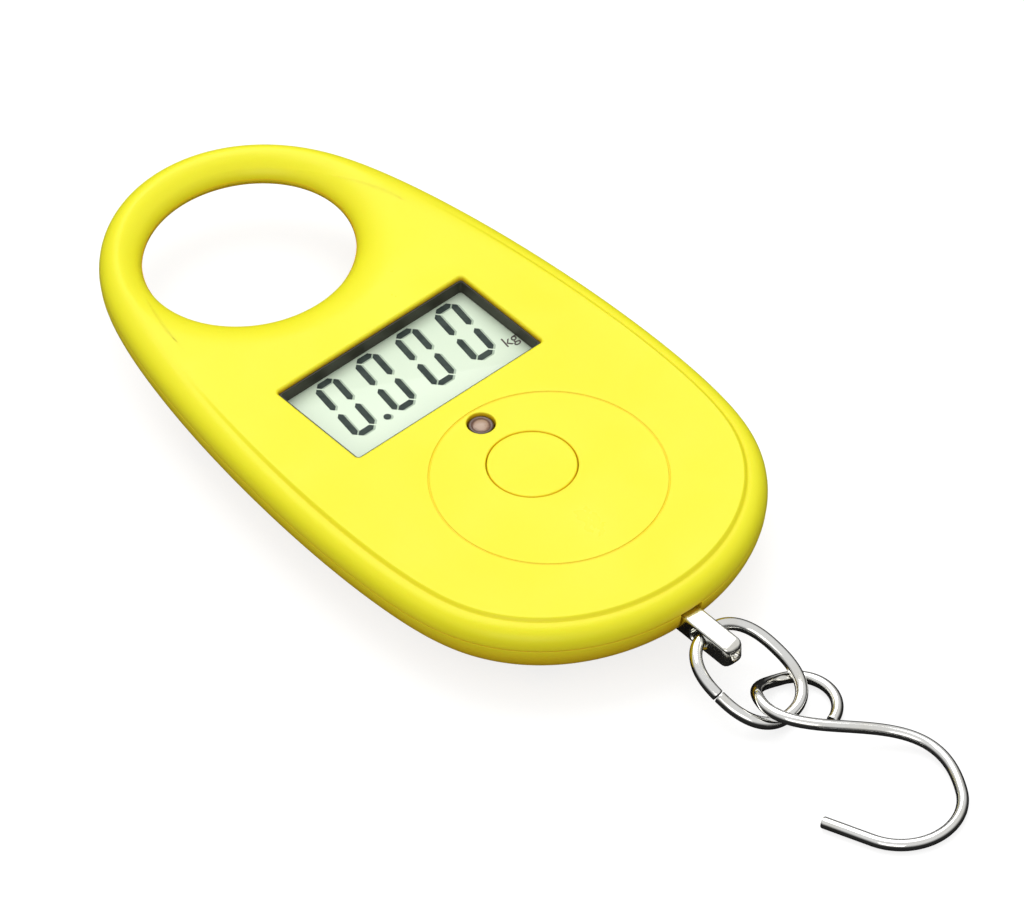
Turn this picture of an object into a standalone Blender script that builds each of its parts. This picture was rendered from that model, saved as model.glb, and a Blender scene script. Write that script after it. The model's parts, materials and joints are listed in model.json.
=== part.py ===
"""Pocket crane scale: a digital hanging scale with a finger ring, a load cell, a link and an S hook.

Frame: metres, +Z up out of the display face, +Y towards the finger ring, +X the way the display reads.
The origin is on the flat back, under the centre of the casing's wide round end.
The scale lies on its back, with its link and hook lying on the same surface.
"""
import math

import bmesh
import bpy
from mathutils import Matrix, Vector

MM = 0.001
GAP = 0.3 * MM          # between pieces that touch
MARGIN = 1.0 * MM       # how far a cutter runs past what it cuts
EDGE = 0.25 * MM        # broken edges of the moulded pieces

# Casing outline, seen from the front: two ellipses under one soft hull
CASE_LENGTH = 105.0 * MM
WIDE_END_HALF_WIDTH = 27.6 * MM
WIDE_END_HALF_LENGTH = 24.4 * MM
RING_END_HALF_WIDTH = 22.4 * MM
RING_END_HALF_LENGTH = 24.2 * MM
HULL_SOFTNESS = 4.35 * MM

# Casing section
CASE_HEIGHT = 12.5 * MM
SPLIT_HEIGHT = 9.3 * MM       # where the two shells meet
RIM_INSET = 2.5 * MM          # rounded rim from the split to the front panel
PANEL_STEP = 0.5 * MM         # how far the front panel stands above the rim
PANEL_BEVEL = 0.3 * MM
BACK_INSET = 17.9 * MM        # reach of the rounded back
BACK_ROUND_END = math.radians(70)
WALL = 1.6 * MM
FLOOR = 2.0 * MM
LIP_HEIGHT = 0.6 * MM         # tongue of the back shell inside the front shell

# Finger hole
RING_TIP_BAR = 5.7 * MM       # ring material beyond the hole, at its tip
HOLE_HALF_WIDTH = 14.7 * MM
HOLE_HALF_LENGTH = 13.1 * MM
HOLE_WALL = 2.2 * MM
FRONT_FLARE = 6.0 * MM
FRONT_FLARE_DEPTH = 3.6 * MM
BACK_FLARE_SIDE = 13.0 * MM   # the steep bevel that thins the ring from behind
BACK_FLARE_TIP = 13.0 * MM
BACK_FLARE_CASE = 5.5 * MM    # less of it next to the battery
BACK_FLARE_POWER = 1.2        # 1 is a straight bevel and 2 a quarter ellipse

# Display
WINDOW_WIDTH = 32.0 * MM
WINDOW_HEIGHT = 16.0 * MM
WINDOW_CORNER = 0.5 * MM
HOLE_TO_WINDOW = 10.6 * MM
WINDOW_RECESS = 2.6 * MM
BEZEL_WALL = 0.35 * MM
BEZEL_FLANGE = 0.25 * MM
BEZEL_SETBACK = 0.35 * MM
PANEL_BORDER = 1.6 * MM       # glass hidden on each side of the window
PANEL_THICKNESS = 1.6 * MM
HOLDER_WALL = 1.0 * MM
STRIP_WIDTH = 1.6 * MM

# Indicator and button
WINDOW_TO_INDICATOR = 5.9 * MM
INDICATOR_HOLE_RADIUS = 1.9 * MM
INDICATOR_FLANGE = 0.7 * MM
LAMP_SIZE = (3.0 * MM, 1.6 * MM)
INDICATOR_TO_BUTTON = 3.9 * MM         # to the edge of the button's hole
BUTTON_HOLE_RADIUS = 6.0 * MM
BUTTON_FLANGE = 1.0 * MM      # overlap behind the panel
FLANGE_THICKNESS = 0.5 * MM   # of the button and the indicator's lens
BUTTON_TRAVEL = 0.5 * MM
RELIEF_RADIUS = 15.7 * MM     # fine circle engraved round the button
RELIEF_BELOW_BUTTON = 3.3 * MM
RELIEF_WIDTH = 0.3 * MM
RELIEF_DEPTH = 0.15 * MM

# Circuit board
BOARD_THICKNESS = 1.0 * MM
BOARD_BELOW_BUTTON = 9.8 * MM
BOARD_SIDE = 1.5 * MM         # board beyond the display holder
BOARD_ABOVE_BEAM = 1.0 * MM
BOARD_SCREW_INSET = 2.6 * MM
HOLDER_TO_SCREW = 3.0 * MM
CHIP_RADIUS = 3.4 * MM
CHIP_HEIGHT = 1.2 * MM
SWITCH_SIDE = 6.0 * MM
SWITCH_HEIGHT = 1.0 * MM
PLUNGER_RADIUS = 1.5 * MM
PLUNGER_PROUD = 0.45 * MM

# Battery
CELL_RADIUS = 10.0 * MM
CELL_HEIGHT = 3.2 * MM
CELL_CRIMP = 1.2 * MM         # step round the cell's lower face
HOLDER_RING = 1.2 * MM
HOLDER_NOTCH = (6.0 * MM, 5.0 * MM)
TOP_CONTACT = (5.0 * MM, 15.0 * MM)
SIDE_CONTACT = (4.5 * MM, 0.5 * MM)
CELL_BELOW_DISPLAY = 3.1 * MM
DOOR_RADIUS = 12.0 * MM
DOOR_THICKNESS = 1.2 * MM
DOOR_SETBACK = 0.1 * MM
DOOR_TABS = 3
TAB_REACH = 1.5 * MM
TAB_THICKNESS = 0.6 * MM
TAB_ANGLE = math.radians(26)
TAB_PLAY = math.radians(3)
DOOR_TURN = math.radians(50)
LEDGE_THICKNESS = 0.7 * MM
COIN_SLOT = (14.0 * MM, 1.8 * MM, 0.6 * MM)

# Load cell and lug
LOAD_CELL_WIDTH = 13.0 * MM
LOAD_CELL_THICKNESS = 2.8 * MM
LOAD_CELL_TO_CASE_END = 10.9 * MM
BEAM_SLOT = 0.8 * MM
BEAM_BULB = 1.3 * MM          # radius of the two round holes
BEAM_WEB = 1.0 * MM           # metal between a bulb and a slot
GAUGE_SIZE = (3.4 * MM, 1.6 * MM)
LUG_WIDTH = 3.0 * MM
LUG_HEIGHT = 3.4 * MM
LUG_REACH = 8.5 * MM          # past the end of the casing
LUG_NOSE = 5.6 * MM           # from the link's hole to the tip
LUG_FOOT_WIDTH = 10.0 * MM
LUG_FOOT_LENGTH = 8.5 * MM
LUG_FOOT_THICKNESS = 1.5 * MM
LUG_EDGE = 0.45 * MM
LUG_ROUND = 1.2 * MM          # length of the round nose
LUG_SLOT_LENGTH = 12.0 * MM   # of the slot that it comes out of
LINK_HOLE_PLAY = 0.25 * MM
LINK_HOLE_SLOT = 1.0 * MM     # extra length that lets the link slew
DIMPLE_RADIUS = 0.45 * MM     # centre mark in the lug's nose

# Screws: shank radius, head radius, head height
CASE_SCREW = (1.0 * MM, 1.9 * MM, 1.2 * MM)
ANCHOR_SCREW = (1.0 * MM, 2.0 * MM, 0.9 * MM)
BOARD_SCREW = (0.7 * MM, 1.4 * MM, 0.7 * MM)
LUG_SCREW = (0.9 * MM, 1.7 * MM, 0.9 * MM)
BOSS_WALL = 1.5 * MM
LOW_SCREW_INSET = 6.2 * MM    # case screws in from the outline
TOP_SCREW_INSET = 5.2 * MM
CASE_SCREW_HEAD_Z = 4.4 * MM
ANCHOR_SCREW_SIDE = 4.0 * MM  # from the middle
LUG_SCREW_SIDE = 3.3 * MM
SCREW_SKIN = 0.6 * WALL       # plastic left above a case screw

# Link: an oval of round wire, closed by a butt joint
LINK_WIRE = 1.7 * MM
LINK_HALF_LENGTH = 7.5 * MM   # to the wire's centre
LINK_HALF_WIDTH = 5.7 * MM
LINK_SQUARENESS = 2.4         # 2 is an ellipse
LINK_YAW = math.radians(9)
LINK_JOINT = 0.35 * MM        # width of the butt joint
LINK_JOINT_AT = 0.755         # share of the way round from the lug
LINK_REST_HEIGHT = 0.45 * MM  # the link's far bend above the surface

# Hook: one wire with an eye, a shank, a round bend and a short straight tip
HOOK_WIRE = 1.6 * MM
EYE_RADIUS = 5.2 * MM
EYE_START = math.radians(-73)
EYE_END = math.radians(188.5)
EYE_RISE = (math.radians(70), math.radians(165))   # where the wire climbs over the link
EYE_LIFT = 3.2 * MM                     # how high it climbs
BEND_RADIUS = 8.0 * MM
BEND_START = math.radians(-32)
BEND_END = math.radians(-159)
BEND_SWEEP = 1.85                       # how widely the shank swings into the bend
HOOK_TIP = 7.0 * MM
HOOK_REACH = (-1.25 * MM, -20.85 * MM)   # from the eye's centre to the bend's centre
EYE_OFFSET = (1.75 * MM, 0.75 * MM)     # from the link's far bend to the eye's centre
HOOK_PIVOT = 2.2 * MM                   # from the link's far bend to the hook's swing axis
REST_HEIGHT = 0.1 * MM                  # the hook's wire above the surface

CASE_SEGMENTS = 72
HOLE_SEGMENTS = 48
WIRE_SIDES = 10
WIRE_STEP = 1.2 * MM

YELLOW = (0.95, 0.90, 0.06)
BLACK = (0.02, 0.02, 0.02)
SOOT = (0.03, 0.03, 0.02)
STEEL = (0.75, 0.75, 0.72)
ALUMINIUM = (0.72, 0.73, 0.74)
GOLD = (0.80, 0.60, 0.25)
BOARD_GREEN = (0.02, 0.20, 0.08)
DISPLAY_GREEN = (0.62, 0.75, 0.58)
RUBBER = (0.25, 0.25, 0.27)
SMOKED = (0.35, 0.22, 0.15)
CLEAR_RESIN = (0.9, 0.88, 0.8)

# ---- Places worked out from the sizes ----
END_SPACING = CASE_LENGTH - WIDE_END_HALF_LENGTH - RING_END_HALF_LENGTH
CASE_END_Y = -WIDE_END_HALF_LENGTH
HOLE_Y = END_SPACING + RING_END_HALF_LENGTH - RING_TIP_BAR - HOLE_HALF_LENGTH
WINDOW_Y = HOLE_Y - HOLE_HALF_LENGTH - HOLE_TO_WINDOW - WINDOW_HEIGHT / 2
INDICATOR_Y = WINDOW_Y - WINDOW_HEIGHT / 2 - WINDOW_TO_INDICATOR
BUTTON_Y = INDICATOR_Y - INDICATOR_TO_BUTTON - BUTTON_HOLE_RADIUS
CELL_Y = WINDOW_Y - CELL_BELOW_DISPLAY

CREASE_Z = CASE_HEIGHT - PANEL_STEP
CEILING_Z = CASE_HEIGHT - WALL
BACK_ROUND_HEIGHT = SPLIT_HEIGHT / math.sin(BACK_ROUND_END)
THROAT_Z = CASE_HEIGHT - FRONT_FLARE_DEPTH   # the finger hole's narrowest place

DISPLAY_TOP_Z = CASE_HEIGHT - WINDOW_RECESS
DISPLAY_BOTTOM_Z = DISPLAY_TOP_Z - PANEL_THICKNESS
LOAD_CELL_Z = FLOOR + GAP
LOAD_CELL_TOP_Z = LOAD_CELL_Z + LOAD_CELL_THICKNESS
LUG_Z = LOAD_CELL_TOP_Z + GAP
BOARD_Z = LOAD_CELL_TOP_Z + BOARD_ABOVE_BEAM
BOARD_TOP_Z = BOARD_Z + BOARD_THICKNESS
BOARD_BOSS_Z = BOARD_TOP_Z + GAP
DISPLAY_SIZE = (WINDOW_WIDTH + 2 * PANEL_BORDER, WINDOW_HEIGHT + 2 * PANEL_BORDER)
HOLDER_SIZE = tuple(side + 2 * (GAP + HOLDER_WALL) for side in DISPLAY_SIZE)
BOARD_WIDTH = HOLDER_SIZE[0] + BOARD_SIDE / 2
BOARD_TOP_Y = WINDOW_Y + HOLDER_SIZE[1] / 2 + BOARD_SIDE / 2
BOARD_LOW_Y = BUTTON_Y - BOARD_BELOW_BUTTON

POCKET_RADIUS = DOOR_RADIUS + TAB_REACH + 2 * GAP
LOAD_CELL_TOP_Y = CELL_Y - POCKET_RADIUS - 2 * GAP
LOAD_CELL_END_Y = CASE_END_Y + LOAD_CELL_TO_CASE_END
LUG_FOOT_Y = LOAD_CELL_END_Y + LUG_FOOT_LENGTH / 2
LUG_SCREW_Y = LUG_FOOT_Y + GAP
ANCHOR_Y = LOAD_CELL_TOP_Y - ANCHOR_SCREW[1] - 1.4 * MM
LUG_TIP_Y = CASE_END_Y - LUG_REACH
LINK_HOLE = Vector((0.0, LUG_TIP_Y + LUG_NOSE, LUG_Z + LUG_HEIGHT / 2))

SWITCH_LOW_Z = BOARD_TOP_Z + GAP
SWITCH_TOP_Z = SWITCH_LOW_Z + SWITCH_HEIGHT
SWITCH_WELL_Z = SWITCH_LOW_Z + SWITCH_HEIGHT * 0.15
PLUNGER_TOP_Z = SWITCH_TOP_Z + PLUNGER_PROUD
BUTTON_STEM_Z = PLUNGER_TOP_Z + GAP
FLANGE_TOP_Z = CEILING_Z - GAP


# ---- Outline ----
def support(angle):
    """Distance from the origin to the outline's tangent line whose normal points along angle."""
    cosine, sine = math.cos(angle), math.sin(angle)
    wide = math.hypot(WIDE_END_HALF_WIDTH * cosine, WIDE_END_HALF_LENGTH * sine)
    ring = END_SPACING * sine + math.hypot(RING_END_HALF_WIDTH * cosine, RING_END_HALF_LENGTH * sine)
    high, low = max(wide, ring), min(wide, ring)
    return high + HULL_SOFTNESS * math.log1p(math.exp((low - high) / HULL_SOFTNESS))


def outline_point(angle, inset=0.0):
    """Point of the outline, moved inwards by inset, where the normal points along angle."""
    step = 1e-4
    reach = support(angle) - inset
    turn = (support(angle + step) - support(angle - step)) / (2 * step)
    return (reach * math.cos(angle) - turn * math.sin(angle),
            reach * math.sin(angle) + turn * math.cos(angle))


def outline_angle_at(y):
    """Normal's angle where the outline's right side is at height y."""
    low, high = math.radians(-89), math.radians(89)
    for _ in range(40):
        middle = (low + high) / 2
        if outline_point(middle)[1] < y:
            low = middle
        else:
            high = middle
    return middle


def outline_ring(inset, z):
    steps = [2 * math.pi * i / CASE_SEGMENTS for i in range(CASE_SEGMENTS)]
    return [Vector((*outline_point(angle, inset), z)) for angle in steps]


def ellipse_ring(half_x, half_y, z, centre=(0.0, 0.0), segments=HOLE_SEGMENTS):
    steps = [2 * math.pi * (i + 0.5) / segments for i in range(segments)]
    return [Vector((centre[0] + half_x * math.cos(a), centre[1] + half_y * math.sin(a), z)) for a in steps]


# ---- Mesh helpers ----
def add_object(name, bm, origin=(0, 0, 0)):
    bmesh.ops.recalc_face_normals(bm, faces=bm.faces)
    bmesh.ops.translate(bm, verts=bm.verts, vec=-Vector(origin))
    mesh = bpy.data.meshes.new(name)
    bm.to_mesh(mesh)
    bm.free()
    piece = bpy.data.objects.new(name, mesh)
    piece.location = origin
    bpy.context.scene.collection.objects.link(piece)
    return piece


def loft(name, rings, origin=(0, 0, 0)):
    """Closed solid through rings of equal count, capped at both ends."""
    bm = bmesh.new()
    rows = [[bm.verts.new(point) for point in ring] for ring in rings]
    for lower, upper in zip(rows, rows[1:]):
        for i in range(len(lower)):
            j = (i + 1) % len(lower)
            bm.faces.new((lower[i], lower[j], upper[j], upper[i]))
    bm.faces.new(list(reversed(rows[0])))
    bm.faces.new(rows[-1])
    return add_object(name, bm, origin)


def turned(name, profile, centre=(0.0, 0.0), segments=16, origin=(0, 0, 0)):
    """Solid of revolution about Z through (radius, height) pairs."""
    rings = [ellipse_ring(radius, radius, z, centre, segments) for radius, z in profile]
    return loft(name, rings, origin)


def cylinder(name, centre, radius, low, high, segments=16):
    return turned(name, [(radius, low), (radius, high)], centre, segments)


def rounded_rectangle(width, height, corner, centre, z, steps):
    """Corners rounded in steps, or left square when steps is 0."""
    points = []
    for quarter in range(4):
        start = quarter * math.pi / 2
        side_x = 1 if quarter in (0, 3) else -1
        side_y = 1 if quarter in (0, 1) else -1
        if steps == 0:
            points.append(Vector((centre[0] + side_x * width / 2, centre[1] + side_y * height / 2, z)))
            continue
        for i in range(steps + 1):
            angle = start + (math.pi / 2) * i / steps
            points.append(Vector((centre[0] + side_x * (width / 2 - corner) + corner * math.cos(angle),
                                  centre[1] + side_y * (height / 2 - corner) + corner * math.sin(angle), z)))
    return points


def plate(name, width, height, low, high, centre=(0.0, 0.0), corner=0.3 * MM, steps=1):
    rings = [rounded_rectangle(width, height, corner, centre, z, steps) for z in (low, high)]
    return loft(name, rings)


def hide(cutter):
    cutter.hide_render = True
    cutter.display_type = 'WIRE'
    return cutter


def combine(piece, operation, tools):
    """Cut tools out of piece, or join them to it."""
    group = bpy.data.collections.new(f"{piece.name}.{operation.lower()}")
    for tool in tools:
        group.objects.link(hide(tool))
    step = piece.modifiers.new(operation.lower(), 'BOOLEAN')
    step.operation = operation
    step.operand_type = 'COLLECTION'
    step.collection = group
    step.solver = 'EXACT'
    return piece


def finish(piece, colour, roughness, metallic=0.0):
    material = bpy.data.materials.new(f"{piece.name}.finish")
    material.use_nodes = True
    shader = material.node_tree.nodes["Principled BSDF"]
    shader.inputs["Base Color"].default_value = (*colour, 1.0)
    shader.inputs["Roughness"].default_value = roughness
    shader.inputs["Metallic"].default_value = metallic
    piece.data.materials.append(material)
    piece.data.shade_smooth()
    piece.data.set_sharp_from_angle(angle=math.radians(35))
    return piece


# ---- Casing profiles ----
def front_rings(steps=4):
    rings = []
    for i in range(steps + 1):
        turn = math.pi / 2 * i / steps
        inset = RIM_INSET * (1 - math.cos(turn))
        height = SPLIT_HEIGHT + (CREASE_Z - SPLIT_HEIGHT) * math.sin(turn)
        rings.append(outline_ring(inset, height))
    rings.append(outline_ring(RIM_INSET + PANEL_BEVEL / 2, CASE_HEIGHT - PANEL_BEVEL / 2))
    rings.append(outline_ring(RIM_INSET + PANEL_BEVEL * 1.5, CASE_HEIGHT))
    return rings


def back_rings(inner, floor, top, steps):
    """Rings of the rounded back, from the floor up; inner is how far they stay inside the outer face."""
    round_height = BACK_ROUND_HEIGHT - inner
    low = math.asin((SPLIT_HEIGHT - floor) / round_height)
    rings = []
    for i in range(steps + 1):
        turn = low * (1 - i / steps)
        inset = BACK_INSET - (BACK_INSET - inner) * math.cos(turn)
        height = SPLIT_HEIGHT - round_height * math.sin(turn)
        rings.append(outline_ring(inset, min(height, top)))
    return rings


def hole_ring(wider, z):
    return ellipse_ring(HOLE_HALF_WIDTH + wider, HOLE_HALF_LENGTH + wider, z, (0.0, HOLE_Y))


def back_hole_ring(share, extra, z):
    """The hole's outline on its way out to the back; share grows from 0 at the narrowest place to 1."""
    half_width = HOLE_HALF_WIDTH + BACK_FLARE_SIDE * share + extra
    half_length = HOLE_HALF_LENGTH + (BACK_FLARE_TIP + BACK_FLARE_CASE) / 2 * share + extra
    middle = HOLE_Y + (BACK_FLARE_TIP - BACK_FLARE_CASE) / 2 * share
    return ellipse_ring(half_width, half_length, z, (0.0, middle))


def back_flare(extra, steps=7):
    """The finger hole's surface from the back up, or the wall round it when extra is more than 0."""
    rings = [back_hole_ring(1.0, extra, -MARGIN)]
    for i in range(steps + 1):
        share = (1 - i / steps) ** 1.6
        fall = (1 - (1 - share) ** BACK_FLARE_POWER) ** (1 / BACK_FLARE_POWER)
        rings.append(back_hole_ring(share, extra, THROAT_Z * (1 - fall)))
    return rings


def front_flare(extra, steps=4):
    """The same surface on to the front."""
    rings = []
    for i in range(steps + 1):
        turn = math.pi / 2 * i / steps
        height = CASE_HEIGHT - FRONT_FLARE_DEPTH * (1 - math.sin(turn))
        rings.append(hole_ring(FRONT_FLARE * (1 - math.cos(turn)) + extra, height))
    rings.append(hole_ring(FRONT_FLARE + extra, CASE_HEIGHT + MARGIN))
    return rings


def case_screw_places():
    """Two screws in the wide end and two beside the finger hole."""
    low_x, low_y = outline_point(math.radians(-50), LOW_SCREW_INSET)
    top_angle = outline_angle_at(WINDOW_Y + WINDOW_HEIGHT)
    top_x, top_y = outline_point(top_angle, TOP_SCREW_INSET)
    return [(side * x, y) for x, y in ((low_x, low_y), (top_x, top_y)) for side in (-1, 1)]


def board_screw_places():
    low_y = BOARD_LOW_Y + BOARD_SCREW_INSET
    top_y = WINDOW_Y - HOLDER_SIZE[1] / 2 - HOLDER_TO_SCREW
    return [(side * (BOARD_WIDTH / 2 - BOARD_SCREW_INSET), y) for y in (low_y, top_y) for side in (-1, 1)]


def anchor_screw_places():
    return [(side * ANCHOR_SCREW_SIDE, ANCHOR_Y) for side in (-1, 1)]


def lug_screw_places():
    return [(side * LUG_SCREW_SIDE, LUG_SCREW_Y) for side in (-1, 1)]


def cylinders(name, places, radius, low, high):
    return [cylinder(f"{name}_{i}", place, radius, low, high) for i, place in enumerate(places)]


# ---- Casing ----
def front_cavity():
    """What is hollow in the front shell: all but the wall round the finger hole and the screw bosses."""
    rebate = SPLIT_HEIGHT + LIP_HEIGHT + GAP / 2
    below = SPLIT_HEIGHT - 2 * MARGIN
    above = CEILING_Z + MARGIN
    cavity = loft("cut.front_cavity", [
        outline_ring(WALL / 2 - GAP / 2, SPLIT_HEIGHT - MARGIN),
        outline_ring(WALL / 2 - GAP / 2, rebate),
        outline_ring(WALL + GAP / 2, rebate),
        outline_ring(WALL * 1.5, CEILING_Z - WALL / 4),
        outline_ring(WALL * 2, CEILING_Z)])
    kept = [loft("keep.front_hole_wall", [hole_ring(HOLE_WALL, below), *front_flare(HOLE_WALL)])]
    kept += cylinders("keep.case_boss", case_screw_places(), CASE_SCREW[1] + BOSS_WALL / 2, below, above)
    kept += cylinders("keep.board_boss", board_screw_places(), BOARD_SCREW[1] + BOSS_WALL / 2, BOARD_BOSS_Z,
                      above)
    return combine(cavity, 'DIFFERENCE', kept)


def relief():
    """The fine engraved circle round the button."""
    centre = (0.0, BUTTON_Y - RELIEF_BELOW_BUTTON)
    disc = cylinder("cut.relief", centre, RELIEF_RADIUS, CASE_HEIGHT - RELIEF_DEPTH, CASE_HEIGHT + MARGIN,
                    48)
    core = cylinder("keep.relief_core", centre, RELIEF_RADIUS - RELIEF_WIDTH, CASE_HEIGHT - MARGIN,
                    CASE_HEIGHT + 2 * MARGIN, 48)
    return combine(disc, 'DIFFERENCE', [core])


def front_shell():
    rings = front_rings()
    rings[0] = outline_ring(0.0, SPLIT_HEIGHT + GAP / 2)
    shell = loft("front_shell", rings)
    combine(shell, 'DIFFERENCE', [front_cavity()])
    below, above = SPLIT_HEIGHT - MARGIN, CASE_HEIGHT + MARGIN
    holes = [loft("cut.front_finger_hole", [hole_ring(0.0, below), *front_flare(0.0)]), relief()]
    holes += cylinders("cut.case_pilot", case_screw_places(), CASE_SCREW[0] + GAP, below,
                       CASE_HEIGHT - SCREW_SKIN)
    holes += cylinders("cut.board_pilot", board_screw_places(), BOARD_SCREW[0] + GAP, BOARD_BOSS_Z - MARGIN,
                       CEILING_Z - GAP)
    holes += [plate("cut.window", WINDOW_WIDTH, WINDOW_HEIGHT, below, above, (0.0, WINDOW_Y), WINDOW_CORNER),
              cylinder("cut.indicator", (0.0, INDICATOR_Y), INDICATOR_HOLE_RADIUS, below, above, 24),
              cylinder("cut.button", (0.0, BUTTON_Y), BUTTON_HOLE_RADIUS, below, above, 40)]
    combine(shell, 'DIFFERENCE', holes)
    return finish(shell, YELLOW, 0.35)


def back_cavity(split):
    """What is hollow in the back shell: all but the wall round the finger hole and the screw pillars."""
    rings = back_rings(WALL, FLOOR, SPLIT_HEIGHT, 4)
    rings.append(outline_ring(WALL, SPLIT_HEIGHT + LIP_HEIGHT + MARGIN))
    cavity = loft("cut.back_cavity", rings)
    kept = [loft("keep.back_hole_wall", [*back_flare(HOLE_WALL), hole_ring(HOLE_WALL, split)])]
    kept += cylinders("keep.case_pillar", case_screw_places(), CASE_SCREW[1] + BOSS_WALL, -MARGIN,
                      split - GAP / 2)
    return combine(cavity, 'DIFFERENCE', kept)


def back_shell():
    """The back, with a tongue round its rim that stands up inside the front shell."""
    split = SPLIT_HEIGHT - GAP / 2
    tongue = WALL / 2 + GAP / 2
    rings = back_rings(0.0, 0.0, split, 5)
    rings += [outline_ring(tongue, z) for z in (split, SPLIT_HEIGHT + LIP_HEIGHT)]
    shell = loft("back_shell", rings)
    combine(shell, 'DIFFERENCE', [back_cavity(split)])
    shank, head, height = (size + GAP for size in CASE_SCREW)
    seat = CASE_SCREW_HEAD_Z + height
    above = SPLIT_HEIGHT + MARGIN
    bore = [(head, -MARGIN), (head, seat), (shank, seat + GAP), (shank, above)]
    holes = [turned(f"cut.case_bore_{i}", bore, place) for i, place in enumerate(case_screw_places())]
    shank, head, height = (size + GAP for size in ANCHOR_SCREW)
    bore = [(head, -MARGIN), (head, height), (shank, height), (shank, FLOOR + MARGIN)]
    holes += [turned(f"cut.anchor_bore_{i}", bore, place) for i, place in enumerate(anchor_screw_places())]
    holes += [cylinder("cut.door_opening", (0.0, CELL_Y), DOOR_RADIUS + GAP, -MARGIN, FLOOR + MARGIN, 64),
              cylinder("cut.door_pocket", (0.0, CELL_Y), POCKET_RADIUS, LEDGE_THICKNESS, FLOOR + MARGIN, 64)]
    holes += [door_sector(f"cut.tab_entry_{i}", POCKET_RADIUS - GAP, -MARGIN, LEDGE_THICKNESS + MARGIN,
                          door_tab_angle(i) + DOOR_TURN, TAB_ANGLE + 2 * TAB_PLAY)
              for i in range(DOOR_TABS)]
    holes += [loft("cut.back_finger_hole", [*back_flare(0.0), hole_ring(0.0, above)]),
              plate("cut.lug_slot", LUG_WIDTH + 2 * GAP, LUG_SLOT_LENGTH, LUG_Z - GAP, above,
                    (0.0, CASE_END_Y))]
    combine(shell, 'DIFFERENCE', holes)
    return finish(shell, YELLOW, 0.35)


# ---- Battery door ----
def door_tab_angle(index):
    return math.radians(90) + 2 * math.pi * index / DOOR_TABS


def door_sector(name, radius, low, high, middle, width, steps=6):
    """A wedge of a disc about the battery's centre, from near its middle out to radius."""
    inner = DOOR_RADIUS - 2 * MARGIN
    outer = []
    for i in range(steps + 1):
        angle = middle - width / 2 + width * i / steps
        outer.append((radius * math.cos(angle), radius * math.sin(angle)))
    first, last = middle - width / 2, middle + width / 2
    loop = outer + [(inner * math.cos(last), inner * math.sin(last)),
                    (inner * math.cos(first), inner * math.sin(first))]
    rings = [[Vector((x, CELL_Y + y, z)) for x, y in loop] for z in (low, high)]
    return loft(name, rings)


def battery_door():
    centre = (0.0, CELL_Y)
    low, high = DOOR_SETBACK, DOOR_SETBACK + DOOR_THICKNESS
    profile = [(DOOR_RADIUS - EDGE, low), (DOOR_RADIUS, low + EDGE), (DOOR_RADIUS, high)]
    door = turned("battery_door", profile, centre, 64, (0.0, CELL_Y, 0.0))
    tab_low = LEDGE_THICKNESS + GAP
    tabs = [door_sector(f"add.tab_{i}", DOOR_RADIUS + TAB_REACH, tab_low, tab_low + TAB_THICKNESS,
                        door_tab_angle(i), TAB_ANGLE)
            for i in range(DOOR_TABS)]
    combine(door, 'UNION', tabs)
    length, width, depth = COIN_SLOT
    slot = plate("cut.coin_slot", length, width, low - MARGIN, low + depth, centre, width * 0.45)
    combine(door, 'DIFFERENCE', [slot])
    return finish(door, YELLOW, 0.4)


# ---- Screws ----
def screw(name, place, sizes, head_low, shank_end):
    """A pan-head screw along Z with a cross recess, its head at head_low and its point at shank_end."""
    shank, head, height = sizes
    rising = shank_end > head_low
    face = head_low if rising else head_low + height
    under = head_low + height if rising else head_low
    way = 1 if rising else -1
    bevel = 0.25 * height
    profile = [(head - bevel, face), (head, face + way * bevel), (head, under), (shank, under),
               (shank, shank_end - way * shank), (shank * 0.4, shank_end)]
    if not rising:
        profile.reverse()
    piece = turned(name, profile, place, 14, (*place, under))
    arm, width, depth = head * 1.15, head * 0.3, height * 0.5
    low, high = sorted((face - way * MARGIN, face + way * depth))
    recess = plate(f"cut.{name}_recess", arm, width, low, high, place, steps=0)
    combine(recess, 'UNION', [plate(f"cut.{name}_recess_bar", width, arm, low, high, place, steps=0)])
    combine(piece, 'DIFFERENCE', [recess])
    return finish(piece, STEEL, 0.3, 1.0)


def screws():
    for i, place in enumerate(case_screw_places()):
        screw(f"case_screw_{i + 1}", place, CASE_SCREW, CASE_SCREW_HEAD_Z, CASE_HEIGHT - SCREW_SKIN - GAP)
    for i, place in enumerate(anchor_screw_places()):
        screw(f"anchor_screw_{i + 1}", place, ANCHOR_SCREW, 2 * DOOR_SETBACK, LOAD_CELL_TOP_Z - 2 * GAP)
    board_head_z = BOARD_Z - GAP - BOARD_SCREW[2]
    for i, place in enumerate(board_screw_places()):
        screw(f"board_screw_{i + 1}", place, BOARD_SCREW, board_head_z, CEILING_Z - 2 * GAP)
    lug_head_z = LUG_Z + LUG_FOOT_THICKNESS + GAP
    for i, place in enumerate(lug_screw_places()):
        screw(f"lug_screw_{i + 1}", place, LUG_SCREW, lug_head_z, LOAD_CELL_Z + GAP)


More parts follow.
